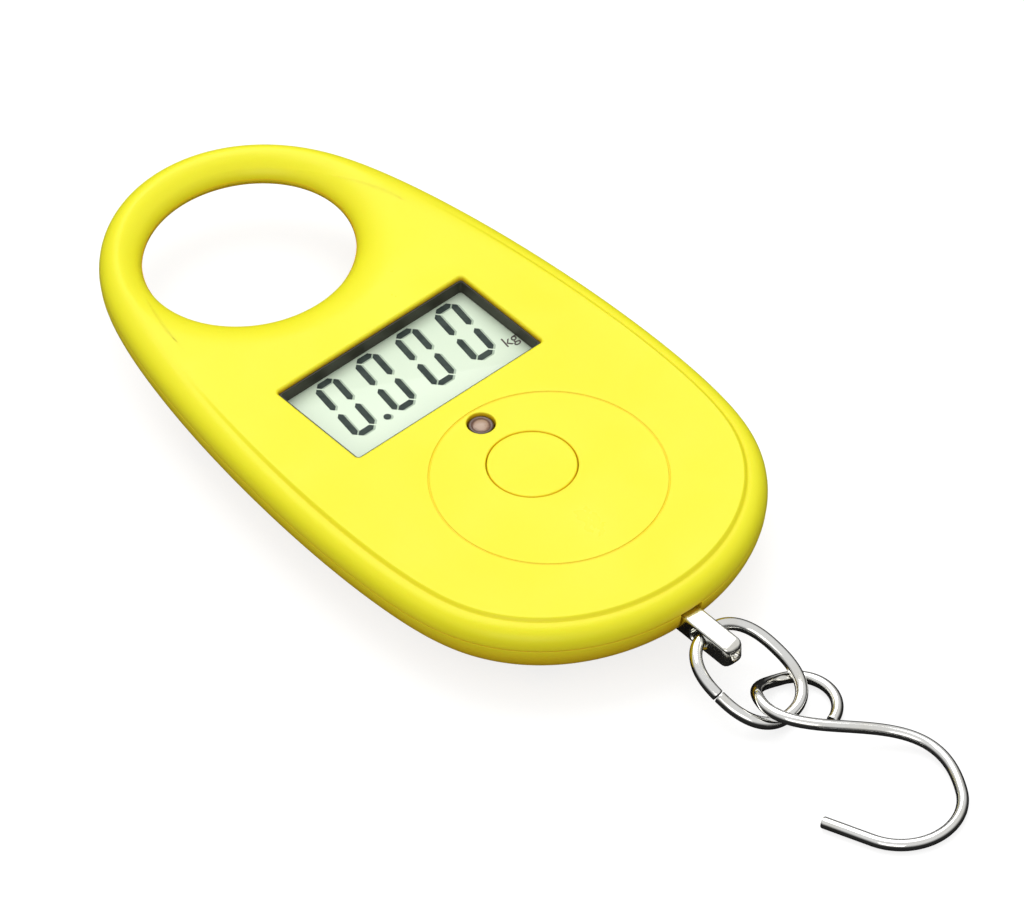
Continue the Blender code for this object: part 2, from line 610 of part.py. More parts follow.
# ---- Display ----
def display():
    centre = (0.0, WINDOW_Y)
    width, height = DISPLAY_SIZE
    outer = (WINDOW_WIDTH - GAP, WINDOW_HEIGHT - GAP)
    inner = tuple(side - 2 * BEZEL_WALL for side in outer)
    flange_low = DISPLAY_TOP_Z + GAP
    bezel = plate("display_bezel", width, height, flange_low, flange_low + BEZEL_FLANGE, centre)
    collar = plate("add.bezel_collar", *outer, flange_low + BEZEL_FLANGE / 2, CASE_HEIGHT - BEZEL_SETBACK,
                   centre, WINDOW_CORNER)
    combine(bezel, 'UNION', [collar])
    opening = plate("cut.bezel", *inner, flange_low - MARGIN, CASE_HEIGHT, centre, WINDOW_CORNER)
    combine(bezel, 'DIFFERENCE', [opening])
    finish(bezel, SOOT, 0.5)

    panel = plate("display_panel", width, height, DISPLAY_BOTTOM_Z, DISPLAY_TOP_Z, centre)
    finish(panel, DISPLAY_GREEN, 0.25)

    holder = plate("display_holder", *HOLDER_SIZE, BOARD_TOP_Z + GAP, DISPLAY_TOP_Z, centre, HOLDER_WALL)
    pocket = plate("cut.holder", width + 2 * GAP, height + 2 * GAP, BOARD_TOP_Z, DISPLAY_TOP_Z + MARGIN,
                   centre)
    combine(holder, 'DIFFERENCE', [pocket])
    finish(holder, BLACK, 0.6)

    for i, side in enumerate((-1, 1)):
        strip_y = WINDOW_Y + side * (height / 2 - STRIP_WIDTH / 2 - GAP)
        strip = plate(f"contact_strip_{i + 1}", width - 4 * GAP, STRIP_WIDTH, BOARD_TOP_Z + GAP,
                      DISPLAY_BOTTOM_Z - GAP, (0.0, strip_y))
        finish(strip, RUBBER, 0.8)


def indicator():
    lens_top = CASE_HEIGHT - EDGE
    flange_low = FLANGE_TOP_Z - FLANGE_THICKNESS
    radius = INDICATOR_HOLE_RADIUS - GAP
    flange = INDICATOR_HOLE_RADIUS + INDICATOR_FLANGE
    profile = [(flange, flange_low), (flange, FLANGE_TOP_Z), (radius, FLANGE_TOP_Z),
               (radius, lens_top - EDGE), (radius - EDGE, lens_top)]
    lens = turned("indicator_lens", profile, (0.0, INDICATOR_Y), 24)
    finish(lens, SMOKED, 0.2)
    lamp = plate("indicator_lamp", *LAMP_SIZE, BOARD_TOP_Z + GAP, flange_low - GAP, (0.0, INDICATOR_Y))
    finish(lamp, CLEAR_RESIN, 0.4)


# ---- Button and switch ----
def button():
    centre = (0.0, BUTTON_Y)
    radius = BUTTON_HOLE_RADIUS - GAP
    flange = BUTTON_HOLE_RADIUS + BUTTON_FLANGE
    flange_low = FLANGE_TOP_Z - FLANGE_THICKNESS
    cap = turned("button_cap",
                 [(PLUNGER_RADIUS, BUTTON_STEM_Z), (PLUNGER_RADIUS, flange_low), (flange, flange_low),
                  (flange, FLANGE_TOP_Z), (radius, FLANGE_TOP_Z), (radius, CASE_HEIGHT - EDGE),
                  (radius - EDGE, CASE_HEIGHT)],
                 centre, 40, (*centre, CASE_HEIGHT))
    finish(cap, YELLOW, 0.35)

    body = plate("switch_body", SWITCH_SIDE, SWITCH_SIDE, SWITCH_LOW_Z, SWITCH_TOP_Z, centre)
    well = cylinder("cut.switch_well", centre, PLUNGER_RADIUS + GAP, SWITCH_WELL_Z, SWITCH_TOP_Z + MARGIN)
    combine(body, 'DIFFERENCE', [well])
    finish(body, STEEL, 0.35, 1.0)

    bevel = PLUNGER_RADIUS / 10
    plunger_low = SWITCH_WELL_Z + BUTTON_TRAVEL + GAP / 3
    plunger = turned("switch_plunger",
                     [(PLUNGER_RADIUS, plunger_low), (PLUNGER_RADIUS, PLUNGER_TOP_Z - bevel),
                      (PLUNGER_RADIUS - bevel, PLUNGER_TOP_Z)],
                     centre, 16, (*centre, PLUNGER_TOP_Z))
    finish(plunger, BLACK, 0.5)


# ---- Circuit board and battery ----
def circuit_board():
    middle = (BOARD_TOP_Y + BOARD_LOW_Y) / 2
    board = plate("circuit_board", BOARD_WIDTH, BOARD_TOP_Y - BOARD_LOW_Y, BOARD_Z, BOARD_TOP_Z,
                  (0.0, middle), BOARD_SIDE)
    combine(board, 'DIFFERENCE', cylinders("cut.board_hole", board_screw_places(), BOARD_SCREW[0] + GAP,
                                           BOARD_Z - MARGIN, BOARD_TOP_Z + MARGIN))
    finish(board, BOARD_GREEN, 0.4)

    chip_place = (CHIP_RADIUS * 1.6 - BOARD_WIDTH / 2, BUTTON_Y + MARGIN)
    top = BOARD_Z - GAP
    steps = 5
    dome = []
    for i in range(steps):
        turn = math.pi / 2 * (i + 0.35) / (steps - 0.65)
        dome.append((CHIP_RADIUS * math.sin(turn), top - CHIP_HEIGHT * math.cos(turn)))
    finish(turned("controller_blob", dome, chip_place), BLACK, 0.3)


def battery():
    centre = (0.0, CELL_Y)
    low = DOOR_SETBACK + DOOR_THICKNESS + GAP
    high = low + CELL_HEIGHT
    face = CELL_RADIUS - CELL_CRIMP
    profile = [(face, low), (face, low + EDGE), (CELL_RADIUS, low + 2 * EDGE),
               (CELL_RADIUS, high - EDGE), (CELL_RADIUS - EDGE, high)]
    cell = turned("coin_cell", profile, centre, 40)
    finish(cell, STEEL, 0.25, 1.0)

    top = BOARD_Z - GAP
    inner = CELL_RADIUS + GAP
    holder = cylinder("battery_holder", centre, inner + HOLDER_RING, FLOOR, top, 48)
    combine(holder, 'DIFFERENCE', [
        cylinder("cut.holder_bore", centre, inner, low - MARGIN, BOARD_Z, 48),
        plate("cut.holder_notch", *HOLDER_NOTCH, low - MARGIN, BOARD_Z, (0.0, CELL_Y + inner))])
    finish(holder, BLACK, 0.6)

    spring = plate("battery_contact_top", *TOP_CONTACT, high + GAP, top, centre)
    finish(spring, GOLD, 0.3, 1.0)
    tongue = plate("battery_contact_side", *SIDE_CONTACT, low + GAP, top,
                   (0.0, CELL_Y + inner + SIDE_CONTACT[1] / 2), 0.2 * MM)
    finish(tongue, GOLD, 0.3, 1.0)


# ---- Load cell and lug ----
def load_cell():
    """A flat S beam: a slot in from each side and a dumbbell hole between them."""
    length = LOAD_CELL_TOP_Y - LOAD_CELL_END_Y
    middle = (LOAD_CELL_TOP_Y + LOAD_CELL_END_Y) / 2
    low, high = LOAD_CELL_Z, LOAD_CELL_TOP_Z
    below, above = low - MARGIN, high + MARGIN
    beam = plate("load_cell", LOAD_CELL_WIDTH, length, low, high, (0.0, middle))
    shift = LOAD_CELL_WIDTH / 2 - 2.2 * BEAM_BULB
    spread = BEAM_BULB + BEAM_WEB + BEAM_SLOT / 2
    reach = 1.8 * BEAM_BULB
    cuts = [plate(f"cut.beam_slot_{i}", LOAD_CELL_WIDTH, BEAM_SLOT, below, above,
                  (side * shift, middle + side * spread), BEAM_SLOT * 0.45)
            for i, side in enumerate((-1, 1))]
    cuts.append(plate("cut.beam_neck", 2 * BEAM_BULB, BEAM_SLOT, below, above, (0.0, middle)))
    cuts += cylinders("cut.beam_bulb", [(side * reach, middle) for side in (-1, 1)], BEAM_BULB, below, above)
    cuts += cylinders("cut.beam_anchor", anchor_screw_places(), ANCHOR_SCREW[0] + GAP, below, high - GAP)
    cuts += cylinders("cut.beam_lug", lug_screw_places(), LUG_SCREW[0] + GAP, low + GAP / 2, above)
    combine(beam, 'DIFFERENCE', cuts)
    finish(beam, ALUMINIUM, 0.35, 1.0)
    for i, side in enumerate((-1, 1)):
        place = (side * reach, middle + side * (BEAM_BULB + BEAM_WEB / 2))
        gauge = plate(f"strain_gauge_{i + 1}", *GAUGE_SIZE, high + GAP, high + 2 * GAP, place)
        finish(gauge, GOLD, 0.4)


def lug_bar():
    """The lug's bar, with rounded edges and a round nose."""
    length = LUG_FOOT_Y - LUG_FOOT_LENGTH / 2 + 2 * MARGIN - LUG_TIP_Y
    middle_z = LUG_Z + LUG_HEIGHT / 2
    steps = 4
    stations = []
    for i in range(steps):
        flat = 1 - math.sin(math.pi / 2 * (i + 0.4) / (steps - 0.6))
        stations.append((LUG_TIP_Y + LUG_ROUND * flat, LUG_WIDTH / 4 * flat))
    stations.append((LUG_TIP_Y + length, 0.0))
    rings = []
    for y, shrink in stations:
        section = rounded_rectangle(LUG_WIDTH - 2 * shrink, LUG_HEIGHT - 2 * shrink, max(LUG_EDGE, shrink),
                                    (0.0, middle_z), 0.0, 3)
        rings.append([Vector((point.x, y, point.y)) for point in section])
    return loft("add.lug_bar", rings)


def link_slot():
    """The hole across the lug, a little longer than the link's wire is thick."""
    height = LINK_WIRE + 2 * LINK_HOLE_PLAY
    section = rounded_rectangle(height + LINK_HOLE_SLOT, height, height * 0.499, (0.0, 0.0), 0.0, 6)
    half = LUG_WIDTH / 2 + MARGIN
    return loft("cut.lug_hole", [[LINK_HOLE + Vector((x, point.x, point.y)) for point in section]
                                 for x in (-half, half)])


def lug_dimple():
    """The centre mark in the lug's nose."""
    ring = ellipse_ring(DIMPLE_RADIUS, DIMPLE_RADIUS, 0.0, (0.0, LINK_HOLE.z + GAP), 12)
    return loft("cut.lug_dimple", [[Vector((point.x, y, point.y)) for point in ring]
                                   for y in (LUG_TIP_Y - MARGIN, LUG_TIP_Y + 2 * DIMPLE_RADIUS)])


def hook_lug():
    """A square bar with a round nose and a cross slot for the link, on a foot screwed to the beam."""
    low, high = LUG_Z, LUG_Z + LUG_FOOT_THICKNESS
    lug = plate("hook_lug", LUG_FOOT_WIDTH, LUG_FOOT_LENGTH, low, high, (0.0, LUG_FOOT_Y), MARGIN)
    combine(lug, 'UNION', [lug_bar()])
    cuts = [link_slot(), lug_dimple()]
    cuts += cylinders("cut.foot_hole", lug_screw_places(), LUG_SCREW[0] + GAP, low - MARGIN, high + MARGIN)
    combine(lug, 'DIFFERENCE', cuts)
    return finish(lug, STEEL, 0.15, 1.0)


# ---- Link and hook ----
def link_slope():
    """The angle at which the link leans on the surface."""
    drop = LINK_HOLE.z - (LINK_WIRE / 2 + LINK_REST_HEIGHT)
    return math.asin(drop / (2 * LINK_HALF_LENGTH))


def link_frame():
    """The link's own axes: X along its swing axis and Y up its length towards the lug."""
    return Matrix.Rotation(LINK_YAW, 4, 'Z') @ Matrix.Rotation(link_slope(), 4, 'X')


def oval_point(turn):
    """Point of the link's centre line, in its own plane, with the lug's hole at the origin."""
    def rounded(value):
        return math.copysign(abs(value) ** (2 / LINK_SQUARENESS), value)
    return Vector((LINK_HALF_WIDTH * rounded(math.sin(turn)),
                   LINK_HALF_LENGTH * (rounded(math.cos(turn)) - 1), 0.0))


def along_link(distance):
    """Point on the link's middle line, at a distance from its far bend."""
    return LINK_HOLE + link_frame() @ Vector((0.0, distance - 2 * LINK_HALF_LENGTH, 0.0))


def even_points(points, spacing):
    """Points at an even spacing along a finely drawn path."""
    lengths = [0.0]
    for first, second in zip(points, points[1:]):
        lengths.append(lengths[-1] + (second - first).length)
    count = max(2, round(lengths[-1] / spacing))
    result, index = [], 0
    for i in range(count + 1):
        target = lengths[-1] * i / count
        while index < len(lengths) - 2 and lengths[index + 1] < target:
            index += 1
        share = (target - lengths[index]) / (lengths[index + 1] - lengths[index])
        result.append(points[index].lerp(points[index + 1], share))
    return result


def wire(name, points, diameter, origin):
    """A round wire with flat ends along points, as a closed mesh."""
    normal = Vector((0, 0, 1))
    rings = []
    for i, point in enumerate(points):
        before, after = points[max(i - 1, 0)], points[min(i + 1, len(points) - 1)]
        tangent = (after - before).normalized()
        normal = (normal - tangent * normal.dot(tangent)).normalized()
        side = tangent.cross(normal)
        rings.append([point + (side * math.cos(a) + normal * math.sin(a)) * diameter / 2
                      for a in (2 * math.pi * k / WIRE_SIDES for k in range(WIRE_SIDES))])
    return loft(name, rings, origin)


def oval_link():
    frame = link_frame()
    start = 2 * math.pi * LINK_JOINT_AT
    fine = [oval_point(start + math.radians(i / 4)) for i in range(1441)]
    points = even_points(fine, WIRE_STEP)
    trim = LINK_JOINT / 2
    points[0] += (points[1] - points[0]).normalized() * trim
    points[-1] += (points[-2] - points[-1]).normalized() * trim
    link = wire("oval_link", [LINK_HOLE + frame @ point for point in points], LINK_WIRE, LINK_HOLE)
    return finish(link, STEEL, 0.12, 1.0)


def smooth(share):
    share = min(max(share, 0.0), 1.0)
    return share * share * (3 - 2 * share)


def on_circle(centre, radius, angle, height):
    return Vector((centre.x + radius * math.cos(angle), centre.y + radius * math.sin(angle), height))


def hook_path():
    """The hook's centre line: the eye threads the link, low on its way in and high on its way out."""
    rest = HOOK_WIRE / 2 + REST_HEIGHT
    eye = along_link(0.0) + Vector((*EYE_OFFSET, 0.0))
    bend = eye + Vector((*HOOK_REACH, 0.0))
    rise_start, rise_end = EYE_RISE

    path = []
    eye_steps, shank_steps, bend_steps = 160, 80, 120
    for i in range(eye_steps + 1):
        angle = EYE_START + (EYE_END - EYE_START) * i / eye_steps
        share = smooth((angle - rise_start) / (rise_end - rise_start))
        path.append(on_circle(eye, EYE_RADIUS, angle, rest + EYE_LIFT * share))
    first = on_circle(eye, EYE_RADIUS, EYE_END, 0.0)
    last = on_circle(bend, BEND_RADIUS, BEND_START, 0.0)
    reach = (last - first).length
    leave = Vector((-math.sin(EYE_END), math.cos(EYE_END), 0.0)) * reach
    arrive = Vector((math.sin(BEND_START), -math.cos(BEND_START), 0.0)) * reach * BEND_SWEEP
    top = path[-1].z - rest
    for i in range(1, shank_steps + 1):
        t = i / shank_steps
        point = (first * (2 * t ** 3 - 3 * t * t + 1) + leave * (t ** 3 - 2 * t * t + t)
                 + last * (3 * t * t - 2 * t ** 3) + arrive * (t ** 3 - t * t))
        path.append(Vector((point.x, point.y, rest + top * (1 - smooth(t)))))
    for i in range(1, bend_steps + 1):
        angle = BEND_START + (BEND_END - BEND_START) * i / bend_steps
        path.append(on_circle(bend, BEND_RADIUS, angle, rest))
    way = (path[-1] - path[-2]).normalized()
    path.append(path[-1] + way * HOOK_TIP)
    return path


def s_hook():
    hook = wire("s_hook", even_points(hook_path(), WIRE_STEP * 1.15), HOOK_WIRE, along_link(HOOK_PIVOT))
    return finish(hook, STEEL, 0.12, 1.0)


def build():
    for old in list(bpy.data.objects):
        bpy.data.objects.remove(old, do_unlink=True)
    front_shell()
    back_shell()
    battery_door()
    screws()
    display()
    indicator()
    button()
    circuit_board()
    battery()
    load_cell()
    hook_lug()
    oval_link()
    s_hook()


build()
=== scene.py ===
"""Looks of the pocket crane scale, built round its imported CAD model.

Metres, in the CAD frame: +Z up out of the display face, +Y towards the finger ring.
The scale lies on its back.
"""
import json
import math

import bmesh
import bpy
import numpy as np
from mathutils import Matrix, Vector

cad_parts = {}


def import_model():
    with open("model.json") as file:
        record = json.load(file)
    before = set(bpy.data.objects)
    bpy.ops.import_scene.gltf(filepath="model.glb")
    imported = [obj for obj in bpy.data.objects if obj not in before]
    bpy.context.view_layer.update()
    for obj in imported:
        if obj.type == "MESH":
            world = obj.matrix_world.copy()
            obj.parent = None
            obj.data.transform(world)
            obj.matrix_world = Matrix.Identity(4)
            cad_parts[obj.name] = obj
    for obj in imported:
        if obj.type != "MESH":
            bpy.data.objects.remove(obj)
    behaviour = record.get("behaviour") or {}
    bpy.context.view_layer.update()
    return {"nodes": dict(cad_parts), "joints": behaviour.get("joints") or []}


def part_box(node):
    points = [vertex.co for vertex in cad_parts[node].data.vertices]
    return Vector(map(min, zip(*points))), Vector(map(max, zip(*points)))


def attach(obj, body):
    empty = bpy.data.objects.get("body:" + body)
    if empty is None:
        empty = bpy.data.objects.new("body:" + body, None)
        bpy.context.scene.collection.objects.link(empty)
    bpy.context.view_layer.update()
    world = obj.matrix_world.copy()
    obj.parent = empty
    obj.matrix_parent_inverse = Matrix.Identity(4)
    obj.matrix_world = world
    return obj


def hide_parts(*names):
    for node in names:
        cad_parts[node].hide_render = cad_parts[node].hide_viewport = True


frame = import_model()

MM = 0.001
JOINTS = {joint["name"]: joint for joint in frame["joints"]}


def middle_of(name):
    """Middle of a CAD node's box."""
    low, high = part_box(name)
    return (low + high) / 2


# ---- Sizes shared with the CAD source ----
WIDE_HALF = (27.6 * MM, 24.4 * MM)
RING_HALF = (22.4 * MM, 24.2 * MM)
HULL_SOFTNESS = 4.35 * MM
CASE_LOW, CASE_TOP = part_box("back_shell")[0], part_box("front_shell")[1]
END_SPACING = CASE_TOP.y - RING_HALF[1]
TOP_Z = CASE_TOP.z
SPLIT_Z = 9.3 * MM
RIM_INSET = 2.5 * MM
PANEL_STEP = 0.5 * MM
STEP_WIDTH = 0.65 * MM
BACK_INSET = 17.9 * MM
BACK_TURN = math.radians(70)
BACK_ROUND_HEIGHT = SPLIT_Z / math.sin(BACK_TURN)
WALL = 1.6 * MM
CEILING = TOP_Z - WALL
BACK_THICKNESS = 2.0 * MM
GAP = 0.3 * MM
HOLE_HALF = (14.7 * MM, 13.1 * MM)
HOLE_Y = CASE_TOP.y - 5.7 * MM - HOLE_HALF[1]
HOLE_WALL = 2.2 * MM
FRONT_FLARE = (6.0 * MM, 3.6 * MM)
BACK_FLARE = (13.0 * MM, 13.0 * MM, 5.5 * MM)   # at the sides, the tip and the casing's side
BACK_POWER = 1.2
THROAT_Z = TOP_Z - FRONT_FLARE[1]
PLAIN_RIM = (4.6 * MM, 2.2)    # inset and power of the rim round the finger ring, which has no step
STEP_FADE = (16.0 * MM, 56.0 * MM)   # along Y, where the panel's step fades out
BLEND_POWER = 2.5
BACK_BLEND = 6.0
MARGIN = 1.0 * MM
SEAM = 0.03 * MM               # half the open line between the shells
SEAM_ROUND = 0.10 * MM
FIRST_INSET = 0.4 * SEAM_ROUND
TONGUE_HEIGHT = 0.5 * MM
TONGUE_INSETS = (WALL - 0.05 * MM, WALL - 0.1 * MM, WALL / 2 + 0.2 * MM, WALL / 2 + 0.15 * MM)
REBATE_Z = SPLIT_Z + 0.75 * MM
RELIEF_RADIUS = 15.55 * MM     # the fine circle round the button
RELIEF_WIDTH = 0.32 * MM
RELIEF_DEPTH = 0.13 * MM
RELIEF_BELOW_BUTTON = 3.3 * MM
PANEL_EDGE = 0.18 * MM

WINDOW_MIDDLE = middle_of("display_bezel")
WINDOW_SIZE = (32.0 * MM, 16.0 * MM)
WINDOW_CORNER = 0.5 * MM
WINDOW_EDGE = 0.4 * MM
GLASS_LOW, GLASS_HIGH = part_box("display_panel")
GLASS_SIZE = (GLASS_HIGH.x - GLASS_LOW.x, GLASS_HIGH.y - GLASS_LOW.y)
BUTTON_MIDDLE = middle_of("button_cap")
BUTTON_RADIUS = 6.0 * MM
LENS_MIDDLE = middle_of("indicator_lens")
LENS_HOLE = 1.9 * MM
DOOR_MIDDLE = Vector(JOINTS["battery_door_turn"]["pos_m"])
DOOR_RADIUS = 12.0 * MM
DOOR_POCKET = 14.1 * MM
DOOR_LEDGE = 0.7 * MM          # floor left under the door's three tabs
SCREW_PILOT = 1.3 * MM
SCREW_HEAD = 2.2 * MM
BOSS_RADIUS = 2.6 * MM
PILLAR_RADIUS = 3.4 * MM

LINK_HOLE = Vector(JOINTS["link_swing"]["pos_m"])
HOOK_PIVOT = Vector(JOINTS["hook_swing"]["pos_m"])
LINK_WIRE = 1.7 * MM
LINK_HALF = (5.7 * MM, 7.5 * MM)
LINK_SQUARENESS = 2.4
LINK_JOINT_AT = 0.755
HOOK_WIRE = 1.6 * MM
EYE_RADIUS = 5.2 * MM
EYE_OFFSET = Vector((1.75 * MM, 0.75 * MM))      # from the link's far bend
EYE_LIFT = 3.2 * MM
EYE_TURN = (math.radians(-73), math.radians(188.5))
EYE_RISE = (math.radians(70), math.radians(95))  # where the eye's rise starts and how far it runs
BEND_RADIUS = 8.0 * MM
BEND_OFFSET = Vector((-1.25 * MM, -20.85 * MM, 0.0))   # from the eye
BEND_TURN = (math.radians(-32), math.radians(-159))
BEND_SWEEP = 1.85
HOOK_TIP = 7.0 * MM
REST_HEIGHT = 0.1 * MM
LUG_SIZE = (3.0 * MM, 0.42 * MM)                 # width and rounding of the bar
LUG_FOOT = (10.0 * MM, 8.5 * MM, 1.5 * MM)

COLUMNS = 288
WIRE_STEP = 0.4 * MM
FLARE_SHARES = (1.04, 0.95, 0.86, 0.76, 0.66, 0.56, 0.46, 0.37, 0.29, 0.22, 0.155, 0.1, 0.06, 0.03, 0.01, 0.0)


# ---- Mesh helpers ----
def put(name, data):
    """A new object in the scene."""
    made = bpy.data.objects.new(name, data)
    bpy.context.scene.collection.objects.link(made)
    return made


def arc(count):
    """Pairs (1 - cos, sin) at count even steps of a quarter turn."""
    turns = [math.pi / 2 * i / (count - 1) for i in range(count)]
    return [(1 - math.cos(turn), math.sin(turn)) for turn in turns]


def make(name, vertices, faces, sharp=30.0):
    mesh = bpy.data.meshes.new(name)
    mesh.from_pydata([tuple(v) for v in vertices], [], faces)
    bm = bmesh.new()
    bm.from_mesh(mesh)
    bmesh.ops.recalc_face_normals(bm, faces=bm.faces)
    bm.to_mesh(mesh)
    bm.free()
    piece = put(name, mesh)
    soften(piece, sharp)
    return piece


def soften(piece, sharp, level=None):
    """Smooth shading with crisp edges. Faces that lie flat at height level stay flat at their borders."""
    mesh = piece.data
    mesh.shade_smooth()
    mesh.set_sharp_from_angle(angle=math.radians(sharp))
    if level is None:
        return
    flat = set()
    for face in mesh.polygons:
        if abs(face.normal.z) > 0.99999 and abs(face.center.z - level) < 1e-6:
            flat.update(face.vertices)
    way = Vector((0, 0, 1 if level > 0 else -1))
    normals = [Vector(corner.vector) for corner in mesh.corner_normals]
    for face in mesh.polygons:
        if face.normal.dot(way) > math.cos(math.radians(sharp)):
            for loop in face.loop_indices:
                if mesh.loops[loop].vertex_index in flat:
                    normals[loop] = way
    mesh.normals_split_custom_set([tuple(normal) for normal in normals])


def tube_faces(rows, columns, closed):
    """Faces of a grid of rows that each run round; closed joins the last row to the first."""
    faces = []
    for r in range(rows if closed else rows - 1):
        low, high = r * columns, ((r + 1) % rows) * columns
        for c in range(columns):
            d = (c + 1) % columns
            faces.append((low + c, low + d, high + d, high + c))
    return faces


def loft(name, rings, sharp=30.0):
    """Closed solid through rings of equal count, capped at both ends."""
    count = len(rings[0])
    vertices = [point for ring in rings for point in ring]
    faces = tube_faces(len(rings), count, False)
    faces.append(tuple(reversed(range(count))))
    faces.append(tuple(range(len(vertices) - count, len(vertices))))
    return make(name, vertices, faces, sharp)


def ellipse(half_x, half_y, z, centre=(0.0, 0.0), segments=96):
    """Half a step is added so that no point falls on the line of symmetry."""
    steps = [2 * math.pi * (i + 0.5) / segments for i in range(segments)]
    return [(centre[0] + half_x * math.cos(a), centre[1] + half_y * math.sin(a), z) for a in steps]


def turned(name, profile, centre, segments=96, sharp=30.0):
    return loft(name, [ellipse(r, r, z, centre, segments) for r, z in profile], sharp)


def rounded(width, height, corner, centre, z, steps=6):
    points = []
    for quarter in range(4):
        side_x = 1 if quarter in (0, 3) else -1
        side_y = 1 if quarter in (0, 1) else -1
        for i in range(steps + 1):
            a = (quarter + i / steps) * math.pi / 2
            points.append((centre[0] + side_x * (width / 2 - corner) + corner * math.cos(a),
                           centre[1] + side_y * (height / 2 - corner) + corner * math.sin(a), z))
    return points


def slab(name, width, height, corner, centre, low, high, edge=0.0, steps=6):
    """A plate with rounded corners; edge rounds its top rim."""
    rings = [rounded(width, height, corner, centre, low, steps)]
    for away, rise in arc(5) if edge else [(0.0, 0.0)]:
        inset = edge * away
        rings.append(rounded(width - 2 * inset, height - 2 * inset, max(corner - inset, 0.02 * MM), centre,
                             high - edge + edge * rise, steps))
    return loft(name, rings)


def combine(piece, operation, tools):
    """Cuts tools out of piece or joins them to it, and removes them."""
    group = bpy.data.collections.new("tools")
    for tool in tools:
        group.objects.link(tool)
    step = piece.modifiers.new("combine", 'BOOLEAN')
    step.operation = operation
    step.operand_type = 'COLLECTION'
    step.collection = group
    step.solver = 'EXACT'
    graph = bpy.context.evaluated_depsgraph_get()
    graph.update()
    mesh = bpy.data.meshes.new_from_object(piece.evaluated_get(graph))
    piece.modifiers.clear()
    old = piece.data
    piece.data = mesh
    bpy.data.meshes.remove(old)
    for tool in tools:
        bpy.data.objects.remove(tool, do_unlink=True)
    bpy.data.collections.remove(group)
    return piece


def dress(piece, body, material, replaces=()):
    """Puts a finished piece on its body, in place of its CAD nodes."""
    piece.data.materials.clear()
    piece.data.materials.append(material)
    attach(piece, body)
    if replaces:
        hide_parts(*replaces)
    return piece


# ---- Casing outline ----
def support(angle):
    """Distance from the origin to the tangent line whose normal points along angle."""
    cosine, sine = np.cos(angle), np.sin(angle)
    wide = np.hypot(WIDE_HALF[0] * cosine, WIDE_HALF[1] * sine)
    ring = END_SPACING * sine + np.hypot(RING_HALF[0] * cosine, RING_HALF[1] * sine)
    return HULL_SOFTNESS * np.logaddexp(wide / HULL_SOFTNESS, ring / HULL_SOFTNESS)


def outline(angle, inset=0.0):
    step = 1e-4
    reach = support(angle) - inset
    turn = (support(angle + step) - support(angle - step)) / (2 * step)
    return np.stack([reach * np.cos(angle) - turn * np.sin(angle),
                     reach * np.sin(angle) + turn * np.cos(angle)], axis=-1)


def outline_angles(count):
    """Normals' angles, even along a mix of turn and length, so that ends and sides both get enough points."""
    fine = np.linspace(0, 2 * math.pi, 7201)
    points = outline(fine)
    length = np.concatenate([[0], np.cumsum(np.linalg.norm(np.diff(points, axis=0), axis=1))])
    mixed = 0.5 * length / length[-1] + 0.5 * fine / fine[-1]
    return np.interp((np.arange(count) + 0.5) / count, mixed, fine)


def outline_ring(inset, z, count=180):
    return [(x, y, z) for x, y in outline(outline_angles(count), inset)]


def inset_of(points):
    """How far points are inside the outline."""
    angles = np.linspace(0, 2 * math.pi, 721)[:-1]
    normals = np.stack([np.cos(angles), np.sin(angles)])
    return np.min(support(angles) - points @ normals, axis=-1)


def widening_of(points):
    """How much wider than the finger hole the ellipse through points is."""
    x, y = np.abs(points[..., 0]), np.abs(points[..., 1] - HOLE_Y)
    low = np.zeros(x.shape)
    high = np.full(x.shape, 0.2)
    for _ in range(40):
        middle = (low + high) / 2
        outside = (x / (HOLE_HALF[0] + middle)) ** 2 + (y / (HOLE_HALF[1] + middle)) ** 2 > 1
        low = np.where(outside, middle, low)
        high = np.where(outside, high, middle)
    return (low + high) / 2


def back_hole(share, extra=0.0):
    """Half sizes and middle of the finger hole's outline on its way out to the back."""
    side, tip, case = BACK_FLARE
    return (HOLE_HALF[0] + side * share + extra, HOLE_HALF[1] + (tip + case) / 2 * share + extra,
            HOLE_Y + (tip - case) / 2 * share)


def back_share(points):
    """How far out towards the back the hole's outline through points is, from 0 to 1."""
    low, high = np.zeros(points.shape[:-1]), np.full(points.shape[:-1], 3.0)
    for _ in range(40):
        share = (low + high) / 2
        half_x, half_y, middle = back_hole(share)
        outside = (points[..., 0] / half_x) ** 2 + ((points[..., 1] - middle) / half_y) ** 2 > 1
        low = np.where(outside, share, low)
        high = np.where(outside, high, share)
    return (low + high) / 2


def quarter(share, power=2.0):
    """Falls from 1 to 0 along a quarter ellipse as share goes from 0 to 1."""
    share = np.clip(share, 0.0, 1.0)
    return 1 - (1 - (1 - share) ** power) ** (1 / power)


def ease(low, high, value):
    share = np.clip((value - low) / (high - low), 0.0, 1.0)
    return share * share * (3 - 2 * share)


def front_height(points):
    """Height of the front face: rounded rim, stepped panel, and the flare round the finger hole."""
    inset, wider = inset_of(points), widening_of(points)
    rim = TOP_Z - SPLIT_Z - PANEL_STEP
    step = PANEL_STEP * (1 - ease(RIM_INSET, RIM_INSET + STEP_WIDTH, inset))
    stepped = rim * quarter(inset / RIM_INSET) + step
    plain = (TOP_Z - SPLIT_Z) * quarter(inset / PLAIN_RIM[0], PLAIN_RIM[1])
    fade = 1 - ease(*STEP_FADE, points[..., 1])
    edge = stepped * fade + plain * (1 - fade)
    flare = FRONT_FLARE[1] * quarter(wider / FRONT_FLARE[0])
    return TOP_Z - (edge ** BLEND_POWER + flare ** BLEND_POWER) ** (1 / BLEND_POWER)


